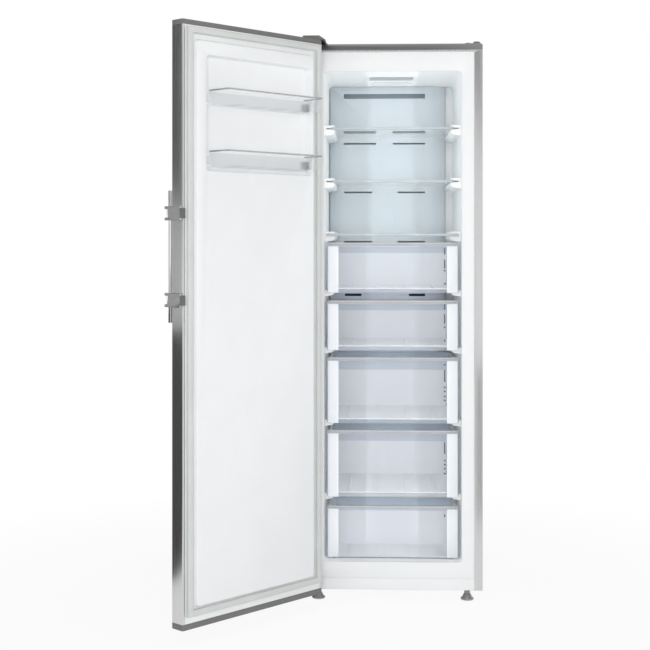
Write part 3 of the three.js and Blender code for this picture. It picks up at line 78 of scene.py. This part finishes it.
# ---------------------------------------------------------------- materials

# The values between which most of a noise texture lies.
NOISE_LOW = 0.3
NOISE_HIGH = 0.7

# The bumps of a metal's grain and a plastic's skin, in metres, how strongly the grain's show, how
# much the grain stretches reflections, and how far roughness varies either way.
GRAIN_DEPTH = 0.0002
SKIN_DEPTH = 0.0003
GRAIN_RELIEF = 0.1
ANISOTROPY = 0.6
UNEVEN_SHINE = 0.05


class Surface:
    """A procedural material whose nodes are added step by step."""

    def __init__(self, name, color, roughness, metallic=0.0):
        self.material = bpy.data.materials.new(name)
        self.material.use_nodes = True
        self.nodes = self.material.node_tree.nodes
        self.links = self.material.node_tree.links
        self.shader = self.nodes["Principled BSDF"]
        self.color = (*color, 1.0)
        self.roughness = roughness
        self.set("Base Color", self.color)
        self.set("Roughness", roughness)
        self.set("Metallic", metallic)
        self.place = self.nodes.new("ShaderNodeTexCoord").outputs["Object"]

    def set(self, socket, value):
        self.shader.inputs[socket].default_value = value

    def noise(self, scale, detail=3.0, stretch=(1, 1, 1)):
        mapping = self.nodes.new("ShaderNodeMapping")
        mapping.inputs["Scale"].default_value = stretch
        texture = self.nodes.new("ShaderNodeTexNoise")
        texture.inputs["Scale"].default_value = scale
        texture.inputs["Detail"].default_value = detail
        self.links.new(self.place, mapping.inputs["Vector"])
        self.links.new(mapping.outputs["Vector"], texture.inputs["Vector"])
        return texture.outputs["Fac"]

    def vary_color(self, value, amount):
        """Darkens and lightens the base colour by a share either way."""
        ramp = self.nodes.new("ShaderNodeValToRGB")
        dark, light = ramp.color_ramp.elements
        dark.position = NOISE_LOW
        light.position = NOISE_HIGH
        dark.color = (*[c * (1 - amount) for c in self.color[:3]], 1)
        light.color = (*[min(c * (1 + amount), 1) for c in self.color[:3]], 1)
        self.links.new(value, ramp.inputs["Fac"])
        self.links.new(ramp.outputs["Color"], self.shader.inputs["Base Color"])

    def vary_roughness(self, value, amount):
        """Lowers and raises the roughness by an amount either way."""
        spread = self.nodes.new("ShaderNodeMapRange")
        spread.inputs["From Min"].default_value = NOISE_LOW
        spread.inputs["From Max"].default_value = NOISE_HIGH
        spread.inputs["To Min"].default_value = self.roughness - amount
        spread.inputs["To Max"].default_value = self.roughness + amount
        self.links.new(value, spread.inputs["Value"])
        self.links.new(spread.outputs["Result"], self.shader.inputs["Roughness"])

    def bump(self, value, strength, distance):
        node = self.nodes.new("ShaderNodeBump")
        node.inputs["Strength"].default_value = strength
        node.inputs["Distance"].default_value = distance
        self.links.new(value, node.inputs["Height"])
        self.links.new(node.outputs["Normal"], self.shader.inputs["Normal"])


def brushed(name, color, roughness, grain=(900, 900, 6), amount=0.05):
    """Metal with a fine grain along z, or along the axis whose stretch is smallest."""
    surface = Surface(name, color, roughness, 1.0)
    lines = surface.noise(1.0, 2.0, grain)
    surface.vary_color(lines, amount)
    surface.vary_roughness(lines, UNEVEN_SHINE)
    surface.bump(lines, GRAIN_RELIEF, GRAIN_DEPTH)
    surface.set("Anisotropic", ANISOTROPY)
    tangent = surface.nodes.new("ShaderNodeTangent")
    tangent.direction_type = "RADIAL"
    tangent.axis = "Z"
    surface.links.new(tangent.outputs["Tangent"], surface.shader.inputs["Tangent"])
    return surface.material


def moulded(name, color, roughness, amount=0.012, texture=420.0, relief=0.03):
    """Moulded plastic with a fine skin and the slightest mottling."""
    surface = Surface(name, color, roughness)
    surface.vary_color(surface.noise(9.0), amount)
    skin = surface.noise(texture, 4.0)
    surface.vary_roughness(skin, UNEVEN_SHINE)
    surface.bump(skin, relief, SKIN_DEPTH)
    return surface.material


def see_through(name, color, roughness, alpha, specular=0.5):
    """Clear or milky plastic or glass, the milkier the higher its alpha."""
    surface = Surface(name, color, roughness)
    surface.vary_color(surface.noise(7.0), 0.01)
    surface.vary_roughness(surface.noise(60.0), 0.03)
    surface.set("Alpha", alpha)
    surface.set("Specular IOR Level", specular)
    return surface.material


MATERIALS = {
    "steel": brushed("brushed_steel", (0.66, 0.665, 0.66), 0.30),
    "zinc": brushed("galvanised_steel", (0.62, 0.63, 0.64), 0.45, (40, 40, 40), 0.08),
    "liner_white": moulded("liner_white", (0.89, 0.905, 0.91), 0.34),
    "foam": moulded("insulation_foam", (0.78, 0.70, 0.46), 0.9, 0.06, 300.0, 0.5),
    "duct_grey": moulded("duct_cover", (0.57, 0.625, 0.665), 0.45),
    "lamp_dark": moulded("lamp_cover", (0.36, 0.38, 0.39), 0.4),
    "coil": brushed("coil_aluminium", (0.72, 0.73, 0.74), 0.35, (300, 300, 30), 0.06),
    "fan_white": moulded("fan_plastic", (0.84, 0.85, 0.85), 0.4),
    "dark_plastic": moulded("dark_plastic", (0.055, 0.057, 0.06), 0.45, 0.1),
    "glass": see_through("shelf_glass", (0.80, 0.90, 0.90), 0.06, 0.16),
    "trim": moulded("shelf_trim", (0.46, 0.49, 0.51), 0.3),
    "tub": see_through("drawer_tub", (0.86, 0.89, 0.94), 0.30, 0.8, 0.4),
    "clear": see_through("clear_front", (0.84, 0.88, 0.94), 0.10, 0.12),
    "black_steel": moulded("black_enamel", (0.02, 0.02, 0.022), 0.35, 0.15),
    "copper_pipe": brushed("copper", (0.72, 0.38, 0.25), 0.28, (80, 80, 80), 0.1),
    "cap_grey": moulded("cap_grey", (0.17, 0.17, 0.165), 0.45, 0.05),
    "gasket": moulded("gasket", (0.66, 0.68, 0.665), 0.6, 0.03, 200.0, 0.08),
    "rail": brushed("bright_rail", (0.46, 0.47, 0.48), 0.22, (6, 6, 6), 0.03),
    "handle_metal": brushed("handle_metal", (0.52, 0.525, 0.52), 0.33),
    "pusher": moulded("pusher", (0.13, 0.13, 0.13), 0.45, 0.08),
}

# Drawer fronts, tubs and baskets
EDGE_TINT = see_through("clear_edge", (0.30, 0.36, 0.45), 0.2, 0.75)
MILKY = see_through("clear_side", (0.91, 0.935, 0.96), 0.3, 0.72, 0.4)
LIP_GREY = see_through("clear_lip", (0.50, 0.51, 0.53), 0.25, 0.8)
INK = moulded("inlay_grey", (0.09, 0.11, 0.16), 0.5, 0.05)
TUB_SIDE = see_through("tub_side", (0.90, 0.93, 0.96), 0.3, 0.35, 0.4)
# Painted shade: a darker, bluer band along the top of each tub's back.
TUB_SHADE = see_through("tub_painted_shade", (0.52, 0.60, 0.70), 0.3, 0.85, 0.4)
# Painted light: a whiter, more opaque copy of the tub plastic for the floor inside each tub.
TUB_FLOOR_LIGHT = see_through("tub_floor_painted_light", (0.94, 0.955, 0.97), 0.35, 0.97, 0.4)
BASKET = see_through("basket_clear", (0.88, 0.91, 0.95), 0.1, 0.09)

# The air duct: its lower cover, painted lighter and bluer as painted light, and the painted shade that
# its slots show
# Painted light: a lighter, bluer copy of the duct cover for its lower part, behind the drawers.
DUCT_LIGHT = moulded("duct_painted_light", (0.72, 0.77, 0.86), 0.5)
# Painted shade: a grey plate behind the upper slots, painted darker for the shade inside the duct.
SHADED_CHANNEL = moulded("channel_painted_shade", (0.42, 0.49, 0.57), 0.6)
# Painted shade: a dark sheet behind the lowest slots, where there is only shade.
SLOT_SHADE = moulded("slot_painted_shade", (0.10, 0.11, 0.20), 0.6)

# Metal
# Painted reflection: a darker copy of the steel for the strip over the opening.
STEEL_REFLECTION = brushed("steel_painted_reflection", (0.34, 0.345, 0.34), 0.32, (6, 900, 900))
HANDLE_BRIGHT = brushed("handle_bright", (0.86, 0.865, 0.86), 0.24)
FOOT = brushed("foot_metal", (0.36, 0.355, 0.34), 0.38, (60, 60, 60), 0.06)

# ---------------------------------------------------------------- mesh helpers

TOUCH = 1e-6
FLAT_ANGLE = 0.6
BEVEL_ANGLE = 30.0
BEVEL_SEGMENTS = 2
SHARP_ANGLE = 40.0

# Faces of this area in square metres and above are shaded flat, the smaller ones smooth.
LARGE_FACE = 0.0015

# A face whose normal has more than this along an axis faces that way.
FACING = 0.5

ACROSS = (1, 0, 0)
UP = (0, 0, 1)


def piece(name, mesh, material, body):
    """A visible object that rides on a body and has one material."""
    obj = bpy.data.objects.new(name, mesh)
    bpy.context.scene.collection.objects.link(obj)
    obj.data.materials.clear()
    obj.data.materials.append(material)
    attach(obj, body)
    return obj


def apply_modifiers(obj):
    bpy.context.view_layer.update()
    evaluated = obj.evaluated_get(bpy.context.evaluated_depsgraph_get())
    mesh = bpy.data.meshes.new_from_object(evaluated)
    obj.modifiers.clear()
    obj.data = mesh


def soften(obj, width):
    """Rounds the edges of a mesh by a width in mm and smooths what is nearly flat."""
    bevel = obj.modifiers.new("edge", "BEVEL")
    bevel.width = width * MM
    bevel.segments = BEVEL_SEGMENTS
    bevel.limit_method = "ANGLE"
    bevel.angle_limit = math.radians(BEVEL_ANGLE)
    bevel.use_clamp_overlap = True
    weighted = obj.modifiers.new("flat_faces", "WEIGHTED_NORMAL")
    weighted.keep_sharp = True
    apply_modifiers(obj)
    for polygon in obj.data.polygons:
        polygon.use_smooth = polygon.area < LARGE_FACE
    obj.data.set_sharp_from_angle(angle=math.radians(SHARP_ANGLE))


def paint_faces(obj, material, chosen):
    """Gives one material to the faces that a test on centre and normal picks."""
    obj.data.materials.append(material)
    index = len(obj.data.materials) - 1
    for polygon in obj.data.polygons:
        if chosen(polygon.center, polygon.normal):
            polygon.material_index = index


def edit(mesh, change, *values):
    """Makes one change to a mesh through its bmesh."""
    work = bmesh.new()
    work.from_mesh(mesh)
    change(work, *values)
    work.to_mesh(mesh)
    work.free()


def merge_faces(work):
    """Joins the triangles of each flat face into one face."""
    bmesh.ops.remove_doubles(work, verts=work.verts, dist=TOUCH)
    angle = math.radians(FLAT_ANGLE)
    bmesh.ops.dissolve_limit(work, angle_limit=angle, verts=work.verts, edges=work.edges)


def cut(work, point, normal):
    """Adds a line of edges where a plane meets a mesh."""
    geometry = [*work.verts, *work.edges, *work.faces]
    bmesh.ops.bisect_plane(work, geom=geometry, dist=TOUCH, plane_co=point, plane_no=normal)


def cut_across(work, height):
    cut(work, (0, 0, height), UP)


# ---------------------------------------------------------------- refined CAD pieces

# All in mm. A drawer front: its folded lip, how far that is lifted, the grey band at its top,
# the milky strip and the dark edge at each side, and the dark edge at its foot.
LIP_FOLD = 5.5
LIP_RISE = 12.0
LIP_BAND = 12.5
MILKY_SIDE = 38.0
STILE = 2.6
FOOT_EDGE = 0.8

# A drawer tub: how deep its front and floor lie, and the height of the painted shade at its back.
TUB_WALL = 6.0
RIM_SHADE = {1: 23.0, 2: 38.0, 3: 64.0, 4: 80.0, 5: 45.0}

# The duct cover: the edge that moves, how far it moves left and up, and the height below which it is
# painted lighter and bluer as painted light.
DUCT_EDGE = 6.0
DUCT_REACH = 15.5
DUCT_RISE = 7.0
GAP_TOP = 1185.0

# The height of the strip of the shell over the opening, which is painted darker as a painted reflection.
TOP_STRIP = 20.0

# The width in mm of each piece's rounded edges.
EDGES = {
    "outer_shell": 0.5, "inner_liner": 1.6, "front_crossbar": 1.2, "duct_cover": 1.0,
    "ceiling_lamp_cover": 1.0, "hinge_hole_cover": 0.8, "upper_hinge_cover": 1.2,
    "upper_hinge_bracket": 0.5, "lower_hinge_bracket": 0.6, "machine_room_cover": 0.3,
    "door_outer_panel": 0.35, "door_top_cap": 1.2, "door_bottom_cap": 1.2, "door_liner": 1.0,
    "door_gasket": 0.9, "basket_upper": 0.8, "basket_lower": 0.8, "handle_bar": 1.0,
    "handle_bracket_upper": 1.4, "handle_bracket_lower": 1.4, "handle_pusher_upper": 0.6,
    "handle_pusher_lower": 0.6, "foot_left": 0.8, "foot_right": 0.8, "roller_left": 0.6,
    "roller_right": 0.6, "back_panel": 0.3, "base_plate": 0.4, "cord_gland": 0.5,
}
for number in SHELVES:
    EDGES[f"shelf_glass_{number}"] = 0.6
    EDGES[f"shelf_trim_{number}"] = 0.8
for number in DRAWERS:
    EDGES[f"drawer_tub_{number}"] = 0.7
    EDGES[f"drawer_front_{number}"] = 0.6


def raise_lip(work):
    """Lifts the folded lip of a drawer front and marks off the band and the side strips."""
    top = max(vertex.co.z for vertex in work.verts)
    for vertex in work.verts:
        if vertex.co.z > top - LIP_FOLD * MM:
            vertex.co.z += LIP_RISE * MM
    left = min(vertex.co.x for vertex in work.verts)
    right = max(vertex.co.x for vertex in work.verts)
    cut_across(work, top + (LIP_RISE - LIP_BAND) * MM)
    for x in (left + MILKY_SIDE * MM, right - MILKY_SIDE * MM):
        cut(work, (x, 0, 0), ACROSS)


def widen_duct(mesh):
    """Takes the duct cover up to the left wall and the ceiling."""
    left = min(vertex.co.x for vertex in mesh.vertices)
    top = max(vertex.co.z for vertex in mesh.vertices)
    for vertex in mesh.vertices:
        if vertex.co.x < left + DUCT_EDGE * MM:
            vertex.co.x -= DUCT_REACH * MM
        if vertex.co.z > top - DUCT_EDGE * MM:
            vertex.co.z += DUCT_RISE * MM


def refined(node, width):
    """A finer copy of a CAD node: its flat faces joined and cut for paint, its edges rounded."""
    mesh = NODES[node].data.copy()
    mesh.name = f"{node}_fine"
    edit(mesh, merge_faces)
    if node.startswith("drawer_front"):
        edit(mesh, raise_lip)
    if node.startswith("drawer_tub"):
        shade = RIM_SHADE[int(node[-1])]
        edit(mesh, cut_across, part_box(node)[1].z - shade * MM)
    if node == "outer_shell":
        edit(mesh, cut_across, shell_high.z - TOP_STRIP * MM)
    if node == "duct_cover":
        widen_duct(mesh)
        edit(mesh, cut_across, GAP_TOP * MM)
    slot = SLOT_OF[node]
    obj = piece(f"{node}_fine", mesh, MATERIALS[slot], BODY_OF[node])
    soften(obj, width)
    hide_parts(node)
    return obj


def dressed(node):
    """A CAD node that keeps its own mesh and takes its slot's material."""
    obj = NODES[node]
    obj.data.materials.clear()
    obj.data.materials.append(MATERIALS[SLOT_OF[node]])


FINE = {node: refined(node, width) for node, width in EDGES.items()}
for node in NODES:
    if node not in EDGES:
        dressed(node)


def paint_front(number):
    """Milky sides, dark edges and a grey lip on a clear drawer front."""
    front = FINE[f"drawer_front_{number}"]
    low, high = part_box(f"drawer_front_{number}")
    half = (high.x - low.x) / 2
    middle = (high.x + low.x) / 2
    milky = half - MILKY_SIDE * MM
    stile = half - STILE * MM
    foot = low.z + FOOT_EDGE * MM
    band = high.z + (LIP_RISE - LIP_BAND) * MM
    paint_faces(front, MILKY, lambda c, n: abs(c.x - middle) > milky)
    paint_faces(front, EDGE_TINT, lambda c, n: abs(c.x - middle) > stile or c.z < foot)
    paint_faces(front, LIP_GREY, lambda c, n: c.z > band)


def paint_tub(number):
    """Clearer sides, a painted shade at the back, a floor painted lighter as painted light, and a clear
    front on a drawer tub.
    """
    tub = FINE[f"drawer_tub_{number}"]
    low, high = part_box(f"drawer_tub_{number}")
    shade = high.z - RIM_SHADE[number] * MM
    floor_top = low.z + TUB_WALL * MM
    front_back = low.y + TUB_WALL * MM
    paint_faces(tub, TUB_SIDE, lambda c, n: abs(n.x) > FACING)
    # Painted shade along the top of the tub's back.
    paint_faces(tub, TUB_SHADE, lambda c, n: n.y < -FACING and c.z > shade)
    # Painted light on the floor inside the tub.
    paint_faces(tub, TUB_FLOOR_LIGHT, lambda c, n: n.z > FACING and c.z < floor_top)
    paint_faces(tub, MATERIALS["clear"], lambda c, n: c.y < front_back and abs(n.y) > FACING)


for number in DRAWERS:
    paint_front(number)
    paint_tub(number)

for node, material in (
    ("foot_left", FOOT),
    ("foot_right", FOOT),
    ("basket_upper", BASKET),
    ("basket_lower", BASKET),
    ("handle_bar", HANDLE_BRIGHT),
):
    FINE[node].data.materials[0] = material

# The steel over the opening is painted darker: a painted reflection of the dark above it.
strip_low = shell_high.z - TOP_STRIP * MM
paint_faces(FINE["outer_shell"], STEEL_REFLECTION, lambda c, n: n.y < -FACING and c.z > strip_low)

# Between and behind the clear drawers the duct cover is painted lighter and bluer: painted light for the
# light that the drawers pass on.
paint_faces(FINE["duct_cover"], DUCT_LIGHT, lambda c, n: c.z < GAP_TOP * MM and n.y < -FACING)

# The lamp cover shows its dark front edge under a ceiling that it matches from below.
paint_faces(FINE["ceiling_lamp_cover"], MATERIALS["liner_white"], lambda c, n: n.z < -FACING)

# ---------------------------------------------------------------- pieces that only the looks need

# The plates behind the air slots, in mm: a grey one for the upper slots, painted darker for the shade
# inside the duct, and a dark sheet of painted shade for the lowest.
PLATE_X = (-196, 152)
PLATE_Y = 478.0
PLATE_SHEET = 1.2
PLATE_LIP = 5.0
PLATE_EDGE = 0.3
UPPER_SLOTS_Z = (1190, 1738)
LOWEST_SLOTS_Z = (975, 1022)


def bent_plate(name, span_z, material):
    """A thin plate behind the air slots, with its top and bottom edges folded back."""
    low, high = span_z
    folded = PLATE_Y + PLATE_LIP
    outline = [(folded, low), (PLATE_Y, low), (PLATE_Y, high), (folded, high)]
    mesh = bpy.data.meshes.new(name)
    corners = [cabinet(x, y, z) for x in PLATE_X for y, z in outline]
    count = len(outline)
    faces = [(i, i + 1, count + i + 1, count + i) for i in range(count - 1)]
    mesh.from_pydata(corners, [], faces)
    obj = piece(name, mesh, material, "cabinet")
    solid = obj.modifiers.new("sheet", "SOLIDIFY")
    solid.thickness = PLATE_SHEET * MM
    solid.offset = 0
    soften(obj, PLATE_EDGE)


# Marks inlaid in the drawer fronts, in mm. Each is given by its two ends' distances below the
# front's top, which are the same for a dot.
PANEL_BACK = 3.3
MARK_X = 174.0
MARK_WIDTH = 4.4
DASH_RADIUS = MARK_WIDTH / 2
DOT_RADIUS = MARK_WIDTH * 0.7
MARK_SHEET = 0.5
HALF_TURN_STEPS = 12
MARKS = {
    1: ((20.5, 38.6), (58.8, 85.7), (94.1, 94.1), (138.4, 138.4)),
    2: ((14.0, 29.3), (47.9, 76.4), (89.9, 89.9), (135.6, 135.6)),
    3: ((24.8, 24.8), (43.3, 80.3), (100.4, 100.4), (113.9, 113.9), (130.6, 130.6), (144.1, 144.1)),
    4: ((41.2, 78.1), (101.6, 101.6), (115.1, 115.1), (128.6, 128.6), (145.4, 145.4)),
    5: ((31.0, 36.0),),
}


def add_mark(work, x, y, top, bottom):
    """Adds a flat mark with round ends, from one height to another, to a mesh."""
    radius = DASH_RADIUS if top > bottom else DOT_RADIUS
    outline = []
    for step in range(2 * HALF_TURN_STEPS):
        turn = math.pi * (step + 0.5) / HALF_TURN_STEPS
        end = top if math.sin(turn) > 0 else bottom
        outline.append((x + radius * math.cos(turn), end + radius * math.sin(turn)))
    near = [work.verts.new(cabinet(px, y - MARK_SHEET, pz)) for px, pz in outline]
    far = [work.verts.new(cabinet(px, y, pz)) for px, pz in outline]
    work.faces.new(near)
    work.faces.new(far[::-1])
    for i in range(len(near)):
        j = (i + 1) % len(near)
        work.faces.new((near[i], far[i], far[j], near[j]))


def drawer_marks(number, marks):
    """All the marks of one drawer front, as one mesh that rides on the drawer."""
    front_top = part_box(f"drawer_front_{number}")[1].z / MM + LIP_RISE
    panel_face = (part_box(f"drawer_tub_{number}")[0].y - FRONT_Y) / MM - PANEL_BACK
    work = bmesh.new()
    for start, end in marks:
        add_mark(work, MARK_X, panel_face, front_top - start, front_top - end)
    mesh = bpy.data.meshes.new(f"drawer_marks_{number}")
    work.to_mesh(mesh)
    work.free()
    piece(f"drawer_marks_{number}", mesh, INK, f"drawer_{number}")


for number, marks in MARKS.items():
    drawer_marks(number, marks)

bent_plate("duct_channel_upper", UPPER_SLOTS_Z, SHADED_CHANNEL)
# A dark sheet of painted shade behind the lowest slots.
bent_plate("duct_slot_shade_lower", LOWEST_SLOTS_Z, SLOT_SHADE)

# ---------------------------------------------------------------- camera

# The photo: its side and the row of its horizon, in pixels.
PHOTO_SIZE = 650
HORIZON_ROW = 240.9

# The camera solved on it: lens and sensor in mm, place in mm as for cabinet(), turn in degrees,
# and how far it sees, in metres.
LENS = 73.65
SENSOR = 36.0
CAMERA_AT = (-55.9, -4422.4, 1195.4)
CAMERA_YAW = 2.196
CLIP_END = 100


def camera():
    data = bpy.data.cameras.new("camera")
    data.lens = LENS
    data.sensor_width = SENSOR
    data.shift_y = -(PHOTO_SIZE / 2 - HORIZON_ROW) / PHOTO_SIZE
    data.clip_end = CLIP_END
    obj = bpy.data.objects.new("camera", data)
    obj.location = cabinet(*CAMERA_AT)
    obj.rotation_euler = (math.radians(90), 0, math.radians(CAMERA_YAW))
    bpy.context.scene.collection.objects.link(obj)
    bpy.context.scene.camera = obj


# ---------------------------------------------------------------- floor and world

# The floor: its side and the distances over which its shadow fades, in metres, its colour, and
# the share of white that it shows under the object.
FLOOR_SIZE = 30.0
SHADOW_REACH = (0.8, 2.0)
FLOOR_COLOR = (0.92, 0.92, 0.92, 1)
FLOOR_ROUGHNESS = 0.8
FLOOR_WHITE = 0.9
WORLD_LEVEL = 0.5


def show_white(nodes, links, shader, output, share=None):
    """Shows white, or a share of it, to the camera and to reflections, in place of a shader."""
    path = nodes.new("ShaderNodeLightPath")
    white = nodes.new("ShaderNodeEmission")
    white.inputs["Strength"].default_value = 1.0
    seen = path.outputs["Is Camera Ray"]
    for ray in ("Is Glossy Ray", "Is Transmission Ray"):
        either = nodes.new("ShaderNodeMath")
        either.operation = "MAXIMUM"
        links.new(seen, either.inputs[0])
        links.new(path.outputs[ray], either.inputs[1])
        seen = either.outputs["Value"]
    if share is not None:
        part = nodes.new("ShaderNodeMath")
        part.operation = "MULTIPLY"
        links.new(seen, part.inputs[0])
        links.new(share, part.inputs[1])
        seen = part.outputs["Value"]
    mix = nodes.new("ShaderNodeMixShader")
    links.new(seen, mix.inputs["Fac"])
    links.new(shader, mix.inputs[1])
    links.new(white.outputs["Emission"], mix.inputs[2])
    links.new(mix.outputs["Shader"], output)


def board(name, corners, material):
    """A flat board of the studio, with four corners."""
    mesh = bpy.data.meshes.new(name)
    mesh.from_pydata(corners, [], [(0, 1, 2, 3)])
    mesh.materials.append(material)
    obj = bpy.data.objects.new(name, mesh)
    bpy.context.scene.collection.objects.link(obj)
    return obj


def floor():
    """A pale floor that shows a soft shadow near the object and fades to white around it."""
    material = bpy.data.materials.new("floor_white")
    material.use_nodes = True
    nodes, links = material.node_tree.nodes, material.node_tree.links
    shader = nodes["Principled BSDF"]
    shader.inputs["Base Color"].default_value = FLOOR_COLOR
    shader.inputs["Roughness"].default_value = FLOOR_ROUGHNESS
    place = nodes.new("ShaderNodeTexCoord")
    distance = nodes.new("ShaderNodeVectorMath")
    distance.operation = "LENGTH"
    links.new(place.outputs["Object"], distance.inputs[0])
    fade = nodes.new("ShaderNodeMapRange")
    fade.inputs["From Min"].default_value = SHADOW_REACH[0]
    fade.inputs["From Max"].default_value = SHADOW_REACH[1]
    fade.inputs["To Min"].default_value = FLOOR_WHITE
    fade.inputs["To Max"].default_value = 1.0
    links.new(distance.outputs["Value"], fade.inputs["Value"])
    output = nodes["Material Output"].inputs["Surface"]
    show_white(nodes, links, shader.outputs["BSDF"], output, fade.outputs["Result"])
    half = FLOOR_SIZE / 2
    corners = [(-half, -half, 0), (half, -half, 0), (half, half, 0), (-half, half, 0)]
    board("floor", corners, material)


def world():
    scene_world = bpy.data.worlds.new("studio")
    bpy.context.scene.world = scene_world
    scene_world.use_nodes = True
    nodes, links = scene_world.node_tree.nodes, scene_world.node_tree.links
    background = nodes["Background"]
    background.inputs["Color"].default_value = (1, 1, 1, 1)
    background.inputs["Strength"].default_value = WORLD_LEVEL
    output = nodes["World Output"].inputs["Surface"]
    show_white(nodes, links, background.outputs["Background"], output)


# ---------------------------------------------------------------- lights and reflections

# Studio lamps, in metres: name, place, size and level.
AIM_HEIGHT = 0.95
LAMPS = (
    ("front", (0.0, -4.9, 1.5), (1.8, 1.8), 0.36),
    ("right", (4.2, -3.0, 1.7), (1.6, 2.2), 0.10),
    ("left", (-3.6, -3.4, 1.9), (1.4, 2.0), 0.06),
)

# Lamps in the cavity, in metres: how far they keep from its rim, how deep they stand, how deep
# the ones that face the walls reach, and how far those stand past the middle.
CAVITY_LEVEL = 0.36
LOWER_WALL_LEVEL = 0.27
UPPER_WALL_LEVEL = 0.48
CAVITY_RIM = 0.075
CAVITY_LIGHT_DEPTH = 0.01
WALL_LIGHT_DEPTH = 0.42
WALL_LIGHT_SHIFT = 0.09

# Grey boards that only reflections show, for what stood around the freezer, in metres: name,
# sides, y and heights before the turn, level, and turn in degrees.
CARDS = (
    ("front_high", (-3.0, 3.0), -5.2, (1.75, 4.5), 0.34, 0),
    ("front_low", (0.4, 0.8), -0.5, (0.0, 0.62), 0.55, 0),
    ("left_high", (-2.2, 2.2), -3.4, (1.7, 4.5), 0.1, -90),
    ("left_low", (-1.6, 1.6), -0.85, (0.0, 0.9), 0.08, -90),
    ("left_far", (-2.2, 2.2), -3.6, (0.0, 4.5), 0.55, -90),
)


def area_light(name, at, rotation, size, power):
    """A rectangular lamp that reflections don't show."""
    data = bpy.data.lights.new(name, "AREA")
    data.shape = "RECTANGLE"
    data.size, data.size_y = size
    data.energy = power
    obj = bpy.data.objects.new(name, data)
    obj.location = at
    obj.rotation_euler = rotation
    obj.visible_glossy = False
    bpy.context.scene.collection.objects.link(obj)


def lamp(name, at, size, level):
    """A soft lamp that lights the freezer's middle, whatever its distance, to a level."""
    aim = Vector((CENTRE_X, FRONT_Y, AIM_HEIGHT)) - Vector(at)
    rotation = aim.to_track_quat("-Z", "Y").to_euler()
    area_light(name, at, rotation, size, level * (math.pi * aim.length) ** 2)


def cavity_light(level, low, high):
    """Fills the cavity evenly from its opening, as its own lamps would with the door open."""
    width = high.x - low.x - 2 * CAVITY_RIM
    height = high.z - low.z - 2 * CAVITY_RIM
    at = (CENTRE_X, FRONT_Y + CAVITY_LIGHT_DEPTH, (low.z + high.z) / 2)
    power = level * math.pi * width * height
    area_light("cavity_light", at, (math.radians(90), 0, 0), (width, height), power)


def wall_lights(level, bottom, top):
    """Fills the two side walls between two heights from near the middle of the cavity."""
    depth, height = WALL_LIGHT_DEPTH, top - bottom
    y = FRONT_Y + CAVITY_LIGHT_DEPTH + depth / 2
    power = level * math.pi * depth * height
    for side in (-1, 1):
        at = (CENTRE_X - side * WALL_LIGHT_SHIFT, y, (top + bottom) / 2)
        rotation = (math.radians(90), 0, math.radians(-90 * side))
        area_light("wall_light", at, rotation, (depth, height), power)


def card(name, span_x, y, span_z, level, turn):
    """A glowing grey board, turned about the vertical line x = y = 0."""
    material = bpy.data.materials.new(name)
    material.use_nodes = True
    nodes, links = material.node_tree.nodes, material.node_tree.links
    glow = nodes.new("ShaderNodeEmission")
    glow.inputs["Color"].default_value = (level, level, level, 1)
    links.new(glow.outputs["Emission"], nodes["Material Output"].inputs["Surface"])
    left, right = span_x
    low, high = span_z
    corners = [(left, y, low), (right, y, low), (right, y, high), (left, y, high)]
    obj = board(name, corners, material)
    obj.rotation_euler = (0, 0, math.radians(turn))
    obj.visible_camera = False
    obj.visible_shadow = False
    obj.visible_diffuse = False
    obj.visible_transmission = False


camera()
floor()
world()
for settings in LAMPS:
    lamp(*settings)
liner_low, liner_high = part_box("inner_liner")
drawer_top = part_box("drawer_front_1")[1].z
cavity_light(CAVITY_LEVEL, liner_low, liner_high)
wall_lights(LOWER_WALL_LEVEL, liner_low.z + CAVITY_RIM, drawer_top)
wall_lights(UPPER_WALL_LEVEL, drawer_top, liner_high.z - CAVITY_RIM)
for settings in CARDS:
    card(*settings)

# ---------------------------------------------------------------- settings and end

scene = bpy.context.scene
scene.view_settings.view_transform = "Standard"
